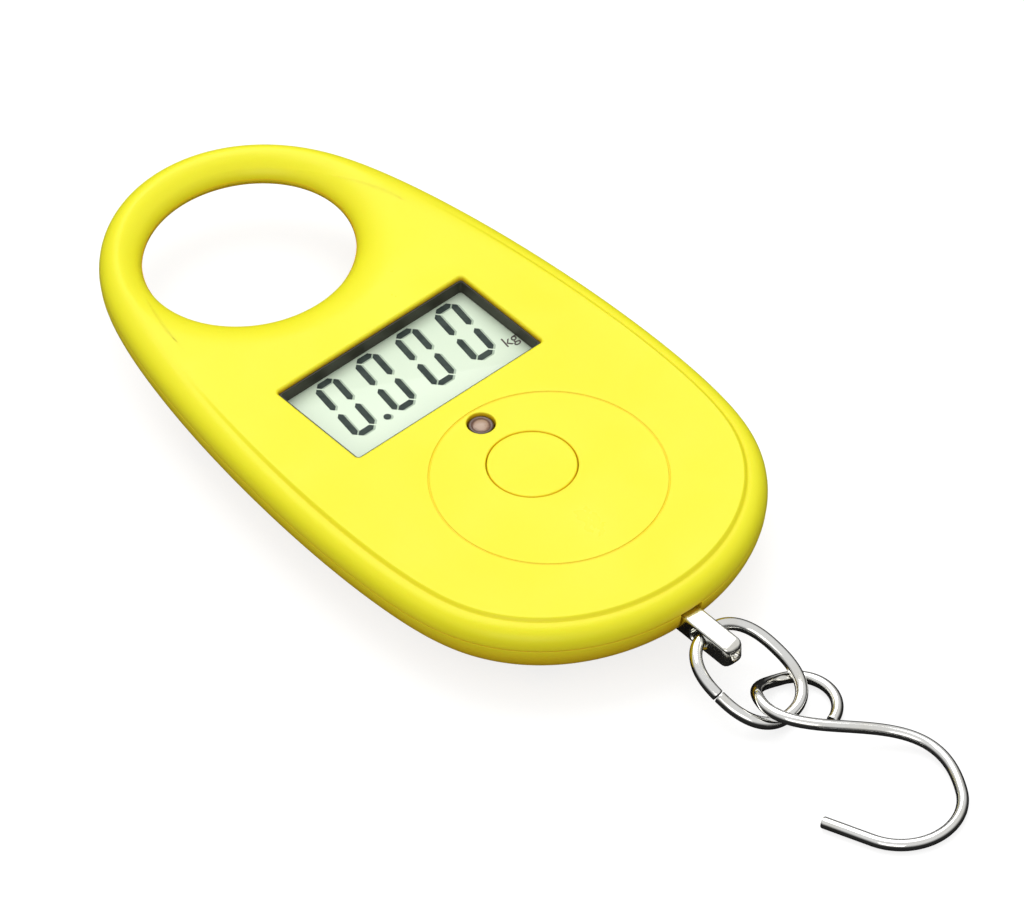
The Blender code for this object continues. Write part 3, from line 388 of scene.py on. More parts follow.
def back_height(points):
    """Height of the back face: rounded rim, flat back, and the steep bevel round the finger hole."""
    cosine = np.clip((BACK_INSET - inset_of(points)) / BACK_INSET, 0.0, 1.0)
    rim = np.maximum(SPLIT_Z - BACK_ROUND_HEIGHT * np.sqrt(1 - cosine * cosine), 0.0)
    flare = THROAT_Z * quarter(back_share(points), BACK_POWER)
    return (rim ** BACK_BLEND + flare ** BACK_BLEND) ** (1 / BACK_BLEND)


def ring_solid(name, height, seam_z, way, edge_insets, flat_rows, tongue=0.0):
    """A closed solid between the outline and the finger hole: a curved face, and a flat one at the seam."""
    flare_widths = [FRONT_FLARE[0] * share for share in FLARE_SHARES]
    angles = outline_angles(COLUMNS)
    outer = outline(angles)
    turn = np.arctan2((outer[:, 1] - HOLE_Y) / HOLE_HALF[1], outer[:, 0] / HOLE_HALF[0])

    def hole(width):
        return np.stack([(HOLE_HALF[0] + width) * np.cos(turn),
                         HOLE_Y + (HOLE_HALF[1] + width) * np.sin(turn)], axis=-1)

    rows, heights = [], []
    for away, rise in arc(5):
        rows.append(outline(angles, SEAM_ROUND * (1 - rise)))
        heights.append(np.full(COLUMNS, seam_z + way * SEAM_ROUND * away))
    for inset in edge_insets:
        rows.append(outline(angles, inset))
    last = rows[-1]
    room = 0.85 * widening_of(last)
    fit = np.minimum(1.0, room / max(flare_widths))
    widest = hole(max(flare_widths) * fit)
    for i in range(1, flat_rows + 1):
        rows.append(last + (widest - last) * i / (flat_rows + 1))
    for width in flare_widths:
        rows.append(hole(width * fit))
    for row in rows[len(heights):]:
        heights.append(height(row))
    edge = heights[-1]
    for step in range(1, 4):
        rows.append(hole(0.0))
        heights.append(edge + (seam_z + way * SEAM_ROUND - edge) * step / 3)
    for away, rise in arc(5)[1:]:
        rows.append(hole(np.full(COLUMNS, SEAM_ROUND * away)))
        heights.append(np.full(COLUMNS, seam_z + way * SEAM_ROUND * (1 - rise)))
    if tongue:
        for inset, level in zip(TONGUE_INSETS, (0.0, tongue, tongue, 0.0)):
            rows.append(outline(angles, inset))
            heights.append(np.full(COLUMNS, seam_z + level))
    vertices = [(p[0], p[1], z) for row, level in zip(rows, heights) for p, z in zip(row, level)]
    return make(name, vertices, tube_faces(len(rows), COLUMNS, True))


def front_wall():
    """The solid wall kept round the finger hole inside the front shell."""
    width, depth = FRONT_FLARE
    shapes = [(HOLE_WALL, -MARGIN)]
    shapes += [(HOLE_WALL + width * away, TOP_Z - depth * (1 - rise)) for away, rise in arc(13)]
    shapes.append((shapes[-1][0], TOP_Z + MARGIN))
    return loft("keep.wall", [ellipse(HOLE_HALF[0] + wider, HOLE_HALF[1] + wider, z, (0.0, HOLE_Y))
                              for wider, z in shapes])


def back_wall():
    """The same for the back shell."""
    rings = []
    for i in range(17):
        share = (1 - i / 16) ** 1.6     # the rings stand closer near the throat
        half_x, half_y, middle = back_hole(share, HOLE_WALL)
        rings.append(ellipse(half_x, half_y, THROAT_Z * quarter(share, BACK_POWER), (0.0, middle)))
    rings.insert(0, [(x, y, -MARGIN) for x, y, _ in rings[0]])
    rings.append([(x, y, TOP_Z + MARGIN) for x, y, _ in rings[-1]])
    return loft("keep.wall", rings)


def panel_cut(name, shape, edge):
    """A cutter through the front panel with a rounded mouth; shape(offset, z) gives each ring."""
    rings = [shape(0.0, CEILING - MARGIN)]
    rings += [shape(edge * away, TOP_Z - edge + edge * rise) for away, rise in arc(7)]
    rings.append(shape(edge * 1.6, TOP_Z + 0.2 * MM))
    return loft(name, rings)


def round_panel_cut(name, radius, centre, segments):
    return panel_cut(name, lambda offset, z: ellipse(radius + offset, radius + offset, z, centre, segments),
                     PANEL_EDGE)


def at_case_screws(name, radius, low, high, segments, above=()):
    """The same round solid at each case screw; above adds to its profile."""
    profile = [(radius, low), (radius, high), *above]
    return [turned(f"{name}_{i}", profile, middle_of(f"case_screw_{i + 1}")[:2], segments) for i in range(4)]


def front_shell(material):
    insets = [RIM_INSET * away for away, _ in arc(17)]
    insets = [inset for inset in insets if inset > FIRST_INSET]
    insets += [RIM_INSET + STEP_WIDTH * (i + 1) / 10 for i in range(10)]
    insets += [3.5 * MM, 4.0 * MM, 4.7 * MM]
    shell = ring_solid("front_cover", front_height, SPLIT_Z + SEAM, 1, insets, 10)
    lip = WALL / 2 - GAP / 2
    cavity = loft("cut.cavity", [
        outline_ring(lip, SPLIT_Z - MARGIN), outline_ring(lip, REBATE_Z),
        outline_ring(WALL + GAP / 2, REBATE_Z), outline_ring(WALL + 0.8 * MM, CEILING - 0.4 * MM),
        outline_ring(WALL + 1.6 * MM, CEILING)])
    bosses = at_case_screws("keep.boss", BOSS_RADIUS, SPLIT_Z - 2 * MARGIN, CEILING + GAP, 48)
    combine(cavity, 'DIFFERENCE', [front_wall()] + bosses)
    window = panel_cut("cut.window", lambda offset, z: rounded(
        WINDOW_SIZE[0] + 2 * offset, WINDOW_SIZE[1] + 2 * offset, WINDOW_CORNER + offset, WINDOW_MIDDLE, z),
        WINDOW_EDGE)
    indicator = round_panel_cut("cut.indicator", LENS_HOLE, LENS_MIDDLE, 64)
    button = round_panel_cut("cut.button", BUTTON_RADIUS, BUTTON_MIDDLE, 128)
    centre = (0.0, BUTTON_MIDDLE.y - RELIEF_BELOW_BUTTON)
    vertices = []
    for i in range(10):
        turn = 2 * math.pi * (i + 0.5) / 10
        radius = RELIEF_RADIUS + RELIEF_WIDTH / 2 * math.cos(turn)
        vertices += ellipse(radius, radius, TOP_Z + RELIEF_DEPTH * math.sin(turn), centre, 192)
    relief = make("cut.relief", vertices, tube_faces(10, 192, True))
    pilots = at_case_screws("cut.pilot", SCREW_PILOT, SPLIT_Z - MARGIN, TOP_Z - WALL * 0.6, 32)
    combine(shell, 'DIFFERENCE', [cavity, window, indicator, button, relief] + pilots)
    soften(shell, 26.0, TOP_Z)
    return dress(shell, "casing", material, ["front_shell"])


def lathe_cut(name, radius, high, mouth, centre, segments):
    """A round cutter upwards from the back, with a rounded mouth."""
    profile = [(radius + 1.6 * mouth, -0.2 * MM)]
    profile += [(radius + mouth * (1 - rise), mouth * away) for away, rise in arc(6)]
    profile.append((radius, high))
    return turned(name, profile, centre, segments)


def sector(name, radius, inner, low, high, middle, width):
    """A plate between two radii round the door's axis."""
    angles = [middle - width / 2 + width * i / 10 for i in range(11)]
    loop = [(radius * math.cos(a), radius * math.sin(a)) for a in angles]
    loop += [(inner * math.cos(a), inner * math.sin(a)) for a in (angles[-1], angles[0])]
    return loft(name, [[(x, DOOR_MIDDLE.y + y, z) for x, y in loop] for z in (low, high)])


def back_cavity():
    """The room inside the back shell, round the screw pillars and the finger hole's wall."""
    rings = []
    round_height = BACK_ROUND_HEIGHT - WALL
    start = math.asin((SPLIT_Z - BACK_THICKNESS) / round_height)
    for i in range(9):
        turn = start * (1 - i / 8)
        rings.append(outline_ring(BACK_INSET - (BACK_INSET - WALL) * math.cos(turn),
                                  SPLIT_Z - round_height * math.sin(turn)))
    rings.append(outline_ring(WALL, SPLIT_Z + MARGIN))
    cavity = loft("cut.cavity", rings)
    pillars = at_case_screws("keep.pillar", PILLAR_RADIUS, -MARGIN, SPLIT_Z + 2 * MARGIN, 48)
    return combine(cavity, 'DIFFERENCE', [back_wall()] + pillars)


def back_shell(material):
    insets = [BACK_INSET * (1 - math.cos(BACK_TURN * (i / 22))) for i in range(1, 23)]
    insets = [inset for inset in insets if FIRST_INSET < inset < 4.4 * MM] + [4.9 * MM]
    shell = ring_solid("back_cover", back_height, SPLIT_Z - SEAM, -1, insets, 26, TONGUE_HEIGHT)
    head_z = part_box("case_screw_1")[0].z + 1.5 * MM
    cuts = [back_cavity()]
    cuts += at_case_screws("cut.bore", SCREW_HEAD, -MARGIN, head_z, 64,
                           [(SCREW_PILOT, head_z + GAP), (SCREW_PILOT, SPLIT_Z + MARGIN)])
    through = BACK_THICKNESS + MARGIN
    for i in range(2):
        place = middle_of(f"anchor_screw_{i + 1}")[:2]
        cuts.append(lathe_cut(f"cut.anchor_{i}", 2.3 * MM, 1.2 * MM, 0.15 * MM, place, 64))
        shank = [(SCREW_PILOT, MARGIN), (SCREW_PILOT, through)]
        cuts.append(turned(f"cut.anchor_shank_{i}", shank, place, 32))
    cuts.append(lathe_cut("cut.door", DOOR_RADIUS + 0.2 * MM, through, 0.2 * MM, DOOR_MIDDLE, 160))
    cuts.append(turned("cut.pocket", [(DOOR_POCKET, DOOR_LEDGE), (DOOR_POCKET, through)], DOOR_MIDDLE, 160))
    for i in range(3):
        cuts.append(sector(f"cut.entry_{i}", DOOR_POCKET - 0.3 * MM, 10 * MM, -MARGIN, DOOR_LEDGE + MARGIN,
                           math.radians(90 + 120 * i + 50), math.radians(32)))
    slot_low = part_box("hook_lug")[0].z - GAP
    cuts.append(loft("cut.lug_slot", [rounded(3.6 * MM, 12 * MM, 0.3 * MM, (0.0, CASE_LOW.y), z)
                                      for z in (slot_low, SPLIT_Z + MARGIN)]))
    combine(shell, 'DIFFERENCE', cuts)
    soften(shell, 26.0, 0.0)
    return dress(shell, "casing", material, ["back_shell"])


# ---- Display ----
def bezel(material):
    glass_top = GLASS_HIGH.z
    piece = slab("window_bezel", *GLASS_SIZE, 0.3 * MM, WINDOW_MIDDLE,
                 glass_top + 0.08 * MM, glass_top + 0.5 * MM)
    collar = slab("add.collar", WINDOW_SIZE[0] - 0.12 * MM, WINDOW_SIZE[1] - 0.12 * MM, WINDOW_CORNER,
                  WINDOW_MIDDLE, glass_top + 0.2 * MM, TOP_Z - 0.6 * MM, 0.1 * MM)
    combine(piece, 'UNION', [collar])
    opening = slab("cut.bezel", WINDOW_SIZE[0] - 0.7 * MM, WINDOW_SIZE[1] - 0.7 * MM, 0.4 * MM, WINDOW_MIDDLE,
                   glass_top - MARGIN, TOP_Z)
    combine(piece, 'DIFFERENCE', [opening])
    soften(piece, 30.0)
    return dress(piece, "casing", material, ["display_bezel"])


def glass(material):
    piece = slab("display_glass", *GLASS_SIZE, 0.25 * MM, WINDOW_MIDDLE, GLASS_LOW.z, GLASS_HIGH.z, 0.1 * MM)
    return dress(piece, "casing", material, ["display_panel"])


DIGIT_WIDTH = 3.9 * MM
DIGIT_HEIGHT = 10.9 * MM
DIGIT_PITCH = 6.87 * MM
DIGIT_STROKE = 0.94 * MM
DIGIT_GAP = 0.16 * MM
DIGIT_SLANT = 0.155
DIGITS_LEFT = -9.5 * MM
DIGITS_Y = WINDOW_MIDDLE.y + 1.9 * MM
DOT_RADIUS = 0.52 * MM
UNIT_HEIGHT = 2.5 * MM
SHADE_SHIFT = (0.22 * MM, -0.2 * MM)   # the digits' soft shadow on the reflector


def bar(start, end):
    """Six-cornered segment from start to end."""
    way = (end - start).normalized()
    side = Vector((-way.y, way.x)) * DIGIT_STROKE / 2
    a, b = start + way * DIGIT_GAP, end - way * DIGIT_GAP
    half = DIGIT_STROKE / 2
    return [a, a + way * half + side, b - way * half + side, b, b - way * half - side, a + way * half - side]


def zero_bars():
    """The six lit segments of a zero; the bar in its middle is off."""
    x, y = (DIGIT_WIDTH - DIGIT_STROKE) / 2, (DIGIT_HEIGHT - DIGIT_STROKE) / 2
    middle = 0.24 * MM
    corners = [((-x, y), (x, y)), ((x, y), (x, middle)), ((x, -middle), (x, -y)), ((x, -y), (-x, -y)),
               ((-x, -y), (-x, -middle)), ((-x, middle), (-x, y))]
    return [bar(Vector(a), Vector(b)) for a, b in corners]


def digits(name, shift, low, high, material):
    """The number on the display, as thin solids on the glass."""
    bm = bmesh.new()

    def add(loop):
        rings = [[bm.verts.new((p.x, p.y, z)) for p in loop] for z in (low, high)]
        bm.faces.new(list(reversed(rings[0])))
        bm.faces.new(rings[1])
        for i in range(len(loop)):
            j = (i + 1) % len(loop)
            bm.faces.new((rings[0][i], rings[0][j], rings[1][j], rings[1][i]))

    for k in range(4):
        for loop in zero_bars():
            add([Vector((DIGITS_LEFT + k * DIGIT_PITCH + p.x + DIGIT_SLANT * p.y + shift[0],
                         DIGITS_Y + p.y + shift[1])) for p in loop])
    dot = Vector((DIGITS_LEFT + DIGIT_PITCH * 0.42, DIGITS_Y - DIGIT_HEIGHT / 2 + DIGIT_STROKE / 2))
    add([Vector((dot.x + DOT_RADIUS * math.cos(a) + shift[0], dot.y + DOT_RADIUS * math.sin(a) + shift[1]))
         for a in (2 * math.pi * i / 20 for i in range(20))])
    return on_glass(name, bm, bpy.data.meshes.new(name), material)


def on_glass(name, bm, mesh, material):
    bmesh.ops.recalc_face_normals(bm, faces=bm.faces)
    bm.to_mesh(mesh)
    bm.free()
    return dress(put(name, mesh), "casing", material)


def unit(material):
    """The unit beside the number."""
    curve = bpy.data.curves.new("display_unit", 'FONT')
    curve.body = "kg"
    curve.size = UNIT_HEIGHT
    curve.shear = DIGIT_SLANT
    curve.resolution_u = 4
    text = put("display_unit", curve)
    bpy.context.view_layer.update()
    mesh = bpy.data.meshes.new_from_object(text.evaluated_get(bpy.context.evaluated_depsgraph_get()))
    bpy.data.objects.remove(text, do_unlink=True)
    bm = bmesh.new()
    bm.from_mesh(mesh)
    bmesh.ops.remove_doubles(bm, verts=bm.verts, dist=1e-7)
    low_x = min(v.co.x for v in bm.verts)
    place = Vector((DIGITS_LEFT + 3 * DIGIT_PITCH + 2.35 * MM - low_x, WINDOW_MIDDLE.y - 4.0 * MM,
                    GLASS_HIGH.z + 0.01 * MM))
    bmesh.ops.translate(bm, verts=bm.verts, vec=place)
    top = bmesh.ops.extrude_face_region(bm, geom=list(bm.faces))
    bmesh.ops.translate(bm, verts=[v for v in top["geom"] if isinstance(v, bmesh.types.BMVert)],
                        vec=Vector((0, 0, 0.03 * MM)))
    return on_glass("display_unit", bm, mesh, material)


# ---- Button and indicator ----
def button(material):
    low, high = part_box("button_cap")
    radius, edge = BUTTON_RADIUS - 0.11 * MM, 0.22 * MM
    dish = 0.06 * MM
    flange_top = CEILING - GAP
    flange_low = flange_top - 0.5 * MM
    stem, flange = 1.5 * MM, 7.0 * MM
    profile = [(stem, low.z), (stem, flange_low), (flange, flange_low), (flange, flange_top),
               (radius, flange_top)]
    profile += [(radius - edge * away, high.z - edge + edge * rise) for away, rise in arc(7)]
    for i in range(1, 13):
        share = i / 12
        profile.append(((radius - edge) * (1 - share) + 0.05 * MM * share,
                        high.z - dish * share * (2 - share)))
    piece = turned("button_top", profile, BUTTON_MIDDLE, 128)
    return dress(piece, "button", material, ["button_cap"])


def indicator(material):
    low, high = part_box("indicator_lens")
    flange = CEILING - GAP
    profile = [(2.6 * MM, low.z), (2.6 * MM, flange), (1.72 * MM, flange)]
    profile += [(radius * MM, high.z - drop * MM) for radius, drop in (
        (1.72, 0.35), (1.66, 0.16), (1.5, 0.08), (1.25, 0.1), (1.12, 0.2), (0.9, 0.12), (0.6, 0.05),
        (0.2, 0.02))]
    piece = turned("indicator_window", profile, LENS_MIDDLE, 64, 50)
    return dress(piece, "casing", material, ["indicator_lens"])


# ---- Battery door ----
def battery_door(material):
    """The coin-slotted disc with its three bayonet tabs, a fine groove and two turn arrows."""
    low, high = (corner.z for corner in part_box("battery_door"))
    edge, body_top = 0.22 * MM, low + 1.2 * MM
    profile = [(radius * MM, low + z * MM) for radius, z in (
        (0.4, 0.0), (6.0, 0.0), (9.9, 0.0), (10.0, 0.04), (10.1, 0.14), (10.3, 0.14), (10.4, 0.04),
        (10.5, 0.0))]
    profile += [(DOOR_RADIUS - edge * (1 - rise), low + edge * away) for away, rise in arc(7)]
    profile += [(DOOR_RADIUS, body_top), (0.4 * MM, body_top)]
    door = turned("door_disc", profile, DOOR_MIDDLE, 160)
    tabs = [sector(f"add.tab_{i}", DOOR_RADIUS + 1.5 * MM, DOOR_RADIUS - 2 * MM, 1.0 * MM,
                   min(1.58 * MM, high), math.radians(90 + 120 * i), math.radians(26)) for i in range(3)]
    combine(door, 'UNION', tabs)
    length, width, corner, mouth = 14 * MM, 1.8 * MM, 0.8 * MM, 0.3 * MM
    slot = [rounded(length + 0.5 * MM, width + 0.5 * MM, corner, DOOR_MIDDLE, low - 0.2 * MM)]
    slot += [rounded(length + mouth * (1 - rise), width + mouth * (1 - rise), corner, DOOR_MIDDLE,
                     low + mouth / 2 * away) for away, rise in arc(6)]
    slot.append(rounded(length, width, corner, DOOR_MIDDLE, low + 0.6 * MM))
    cuts = [loft("cut.slot", slot)]
    for side in (-1, 1):
        tip = Vector((side * 4.2 * MM, DOOR_MIDDLE.y + side * 5.6 * MM))
        base = tip.x - side * 0.7 * MM
        loop = [(tip.x + side * 1.1 * MM, tip.y), (base, tip.y + 0.9 * MM), (base, tip.y - 0.9 * MM)]
        cuts.append(loft(f"cut.arrow_{side + 1}", [[(x, y, z) for x, y in loop]
                                                   for z in (low - 0.3 * MM, low + 0.16 * MM)]))
    combine(door, 'DIFFERENCE', cuts)
    soften(door, 30.0)
    return dress(door, "battery_cover", material, ["battery_door"])


# ---- Lug, link and hook ----
def even_points(points):
    """The same path in even steps of about WIRE_STEP."""
    lengths = [0.0]
    for first, second in zip(points, points[1:]):
        lengths.append(lengths[-1] + (second - first).length)
    count = max(2, round(lengths[-1] / WIRE_STEP))
    result, index = [], 0
    for i in range(count + 1):
        target = lengths[-1] * i / count
        while index < len(lengths) - 2 and lengths[index + 1] < target:
            index += 1
        share = (target - lengths[index]) / (lengths[index + 1] - lengths[index])
        result.append(points[index].lerp(points[index + 1], share))
    return result


def wire(name, points, diameter, chamfer, sides=28):
    """A round wire along points; its cut ends are chamfered."""
    radius = diameter / 2
    rings, normal = [], Vector((0, 0, 1))
    ends = [(chamfer, 0.0), (chamfer * 0.4, chamfer * 0.15), (0.0, chamfer)]
    stations = [(0, shrink, along) for shrink, along in ends]
    stations += [(i, 0.0, None) for i in range(1, len(points) - 1)]
    stations += [(len(points) - 1, shrink, -along) for shrink, along in reversed(ends)]
    for index, shrink, along in stations:
        before, after = points[max(index - 1, 0)], points[min(index + 1, len(points) - 1)]
        tangent = (after - before).normalized()
        normal = (normal - tangent * normal.dot(tangent)).normalized()
        side = tangent.cross(normal)
        middle = points[index] + tangent * (along or 0.0)
        rings.append([middle + (side * math.cos(a) + normal * math.sin(a)) * (radius - shrink)
                      for a in (2 * math.pi * k / sides for k in range(sides))])
    return loft(name, rings, 35.0)


def oval_link(material):
    """A squarish oval of wire round the lug's slot, with its ends butted at the side."""
    across = -Vector(JOINTS["link_swing"]["axis"]).normalized()
    along = (LINK_HOLE - HOOK_PIVOT).normalized()

    def oval(turn):
        def bend(value):
            return math.copysign(abs(value) ** (2 / LINK_SQUARENESS), value)
        return (LINK_HOLE + across * LINK_HALF[0] * bend(math.sin(turn))
                + along * LINK_HALF[1] * (bend(math.cos(turn)) - 1))

    start = 2 * math.pi * LINK_JOINT_AT
    points = even_points([oval(start + 2 * math.pi * i / 2880) for i in range(2881)])
    trim = 0.1 * MM
    points[0] += (points[1] - points[0]).normalized() * trim
    points[-1] += (points[-2] - points[-1]).normalized() * trim
    piece = wire("link_wire", points, LINK_WIRE, 0.13 * MM)
    return dress(piece, "link", material, ["oval_link"])


def smooth(share):
    share = min(max(share, 0.0), 1.0)
    return share * share * (3 - 2 * share)


def hook_path():
    """Middle line of the hook: the lifted eye, the sweep down to the floor, the bend and the straight tip."""
    rest = HOOK_WIRE / 2 + REST_HEIGHT
    link_bend = LINK_HOLE + (HOOK_PIVOT - LINK_HOLE).normalized() * 2 * LINK_HALF[1]
    eye = Vector((link_bend.x + EYE_OFFSET.x, link_bend.y + EYE_OFFSET.y, 0.0))
    bend = eye + BEND_OFFSET
    eye_start, eye_end = EYE_TURN
    bend_start, bend_end = BEND_TURN
    rise_start, rise_run = EYE_RISE

    def on(centre, radius, angle, share):
        return Vector((centre.x + radius * math.cos(angle), centre.y + radius * math.sin(angle),
                       rest + EYE_LIFT * share))

    path = []
    for i in range(161):
        angle = eye_start + (eye_end - eye_start) * i / 160
        path.append(on(eye, EYE_RADIUS, angle, smooth((angle - rise_start) / rise_run)))
    first, last = on(eye, EYE_RADIUS, eye_end, 0), on(bend, BEND_RADIUS, bend_start, 0)
    top = path[-1].z - rest
    reach = (last - first).length
    leave = Vector((-math.sin(eye_end), math.cos(eye_end), 0.0)) * reach
    arrive = Vector((math.sin(bend_start), -math.cos(bend_start), 0.0)) * reach * BEND_SWEEP
    for i in range(1, 81):
        t = i / 80
        point = (first * (2 * t ** 3 - 3 * t * t + 1) + leave * (t ** 3 - 2 * t * t + t)
                 + last * (3 * t * t - 2 * t ** 3) + arrive * (t ** 3 - t * t))
        point.z = rest + top * (1 - smooth(t))
        path.append(point)
    for i in range(1, 121):
        path.append(on(bend, BEND_RADIUS, bend_start + (bend_end - bend_start) * i / 120, 0))
    path.append(path[-1] + (path[-1] - path[-2]).normalized() * HOOK_TIP)
    return path


def s_hook(material):
    piece = wire("hook_wire", even_points(hook_path()), HOOK_WIRE, 0.14 * MM)
    return dress(piece, "hook", material, ["s_hook"])


def lug_bar(low, high):
    """The square bar with its round nose."""
    width, edge = LUG_SIZE
    height = high.z - low.z
    foot_start = high.y - LUG_FOOT[1]
    rings = []
    for along, shrink in ((0.0, 0.95), (0.06, 0.68), (0.2, 0.42), (0.45, 0.2), (0.8, 0.05), (1.2, 0.0),
                          ((foot_start + 2.0 * MM - low.y) / MM, 0.0)):
        shrink *= MM
        corner = min(edge + shrink * 0.5, (width - 2 * shrink) / 2 * 0.98)
        section = rounded(width - 2 * shrink, height - 2 * shrink, corner, (0.0, low.z + height / 2), 0.0, 5)
        rings.append([(x, low.y + along * MM, z) for x, z, _ in section])
    return loft("add.bar", rings)


def lug(material):
    """The bar with the link's slot and a dimple in its nose; its foot inside the casing is as in the CAD."""
    low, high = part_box("hook_lug")
    foot_width, foot_length, foot_height = LUG_FOOT
    piece = slab("lug_bar", foot_width, foot_length, 1.0 * MM, (0.0, high.y - foot_length / 2), low.z,
                 low.z + foot_height, 0.2 * MM)
    combine(piece, 'UNION', [lug_bar(low, high)])
    hole, half, bevel = LINK_WIRE / 2 + 0.25 * MM, LUG_SIZE[0] / 2, 0.2 * MM
    slot = []
    for x, extra in ((-half - MARGIN, MARGIN), (-half - 0.02 * MM, bevel), (-half + bevel, 0.0),
                     (half - bevel, 0.0), (half + 0.02 * MM, bevel), (half + MARGIN, MARGIN)):
        radius = hole + extra
        section = rounded(2 * radius + 1.0 * MM, 2 * radius, radius * 0.999, (0.0, 0.0), 0.0, 8)
        slot.append([(x, LINK_HOLE.y + y, LINK_HOLE.z + z) for y, z, _ in section])
    dimple_z = LINK_HOLE.z + 0.3 * MM
    turns = [2 * math.pi * i / 32 for i in range(32)]
    dimple = [[(radius * MM * math.cos(a), low.y + along * MM, dimple_z + radius * MM * math.sin(a))
               for a in turns]
              for along, radius in ((-1.0, 0.62), (0.0, 0.5), (0.25, 0.42), (0.5, 0.22), (0.62, 0.05))]
    cuts = [loft("cut.slot", slot), loft("cut.dimple", dimple)]
    cuts += [turned(f"cut.foot_{i}", [(1.2 * MM, low.z - MARGIN), (1.2 * MM, low.z + 2.5 * MM)],
                    middle_of(f"lug_screw_{i + 1}")[:2], 32) for i in range(2)]
    combine(piece, 'DIFFERENCE', cuts)
    soften(piece, 30.0)
    return dress(piece, "casing", material, ["hook_lug"])


# ---- Materials ----
class Paint:
    """A Principled material and the node helpers that its recipe uses."""

    def __init__(self, name):
        self.material = bpy.data.materials.new(name)
        self.material.use_nodes = True
        self.nodes = self.material.node_tree.nodes
        self.links = self.material.node_tree.links
        self.shader = self.nodes["Principled BSDF"]
        self.place = self.nodes.new("ShaderNodeTexCoord").outputs["Object"]

    def node(self, kind, **settings):
        made = self.nodes.new(kind)
        for key, value in settings.items():
            setattr(made, key, value)
        return made

    def link(self, source, target):
        self.links.new(source, target)

    def set(self, **values):
        for key, value in values.items():
            self.shader.inputs[key.replace("_", " ")].default_value = value

    def noise(self, size, detail=3.0, stretch=None, roughness=0.5, distortion=0.0, seed=0.0):
        """Noise with features of about size metres."""
        place = self.place
        if stretch or seed:
            mapping = self.node("ShaderNodeMapping")
            mapping.inputs["Scale"].default_value = stretch or (1, 1, 1)
            mapping.inputs["Location"].default_value = (seed, seed * 0.7, -seed)
            self.link(place, mapping.inputs["Vector"])
            place = mapping.outputs["Vector"]
        texture = self.node("ShaderNodeTexNoise")
        self.link(place, texture.inputs["Vector"])
        texture.inputs["Scale"].default_value = 1 / size
        texture.inputs["Detail"].default_value = detail
        texture.inputs["Roughness"].default_value = roughness
        texture.inputs["Distortion"].default_value = distortion
        return texture.outputs["Fac"]

    def cells(self, size):
        texture = self.node("ShaderNodeTexVoronoi")
        self.link(self.place, texture.inputs["Vector"])
        texture.inputs["Scale"].default_value = 1 / size
        return texture.outputs["Distance"]

    def ramp(self, value, *stops):
        node = self.node("ShaderNodeValToRGB")
        ramp = node.color_ramp
        while len(ramp.elements) < len(stops):
            ramp.elements.new(0.5)
        for element, (position, colour) in zip(ramp.elements, stops):
            element.position = position
            element.color = (*colour, 1)
        self.link(value, node.inputs["Fac"])
        return node.outputs["Color"]

    def math(self, operation, first, second=0.0, clamp=False):
        node = self.node("ShaderNodeMath", operation=operation, use_clamp=clamp)
        for socket, value in zip(node.inputs, (first, second)):
            if hasattr(value, "is_linked"):
                self.link(value, socket)
            else:
                socket.default_value = value
        return node.outputs[0]

    def mix(self, factor, first, second, blend='MIX'):
        node = self.node("ShaderNodeMix", data_type='RGBA', blend_type=blend)
        for socket, value in ((node.inputs[0], factor), (node.inputs[6], first), (node.inputs[7], second)):
            if hasattr(value, "is_linked"):
                self.link(value, socket)
            elif hasattr(value, "__len__"):
                socket.default_value = (*value, 1)
            else:
                socket.default_value = value
        return node.outputs[2]

    def range(self, value, low, high, out_low, out_high):
        node = self.node("ShaderNodeMapRange")
        self.link(value, node.inputs["Value"])
        for key, number in (("From Min", low), ("From Max", high), ("To Min", out_low), ("To Max", out_high)):
            node.inputs[key].default_value = number
        return node.outputs["Result"]

    def spread(self, noise, low, high):
        """Noise stretched to run from low to high."""
        return self.range(noise, 0.3, 0.7, low, high)

    def bump(self, height, depth, strength=1.0, normal=None):
        node = self.node("ShaderNodeBump")
        node.inputs["Distance"].default_value = depth
        node.inputs["Strength"].default_value = strength
        self.link(height, node.inputs["Height"])
        if normal:
            self.link(normal, node.inputs["Normal"])
        return node.outputs["Normal"]

    def finish(self, colour, roughness, normal=None):
        self.link(colour, self.shader.inputs["Base Color"])
        self.link(roughness, self.shader.inputs["Roughness"])
        if normal:
            self.link(normal, self.shader.inputs["Normal"])
        return self.material


def yellow_plastic():
    """Moulded ABS: fine spark-eroded grain, faint flow marks and handling marks; painted shade makes it
    deeper orange in its hollows.
    """
    p = Paint("yellow_abs")
    flow = p.noise(0.03, 2.0, (1.0, 0.35, 1.0))
    colour = p.ramp(flow, (0.3, (0.93, 0.87, 0.016)), (0.7, (0.96, 0.91, 0.024)))
    # Painted shade: an ambient-occlusion mask turns the yellow darker and more orange in hollows and creases,
    # standing for shade and light bounced between yellow walls.
    hollow_occlusion = p.node("ShaderNodeAmbientOcclusion", samples=6)
    hollow_occlusion.inputs["Distance"].default_value = 0.016
    painted_shade = p.range(hollow_occlusion.outputs["AO"], 0.45, 1.0, 1.0, 0.0)
    colour = p.mix(painted_shade, colour, (0.93, 0.60, 0.012))
    marks = p.noise(0.012, 5.0, None, 0.6, 0.4, 3.0)
    roughness = p.spread(marks, 0.27, 0.40)
    grain = p.noise(0.00022, 2.0)
    normal = p.bump(grain, 0.000010, 0.5)
    normal = p.bump(flow, 0.00025, 0.25, normal)
    p.set(Specular_IOR_Level=0.32, Subsurface_Weight=0.12, Subsurface_Scale=0.0012)
    p.shader.inputs["Subsurface Radius"].default_value = (1.0, 0.7, 0.12)
    return p.finish(colour, roughness, normal)


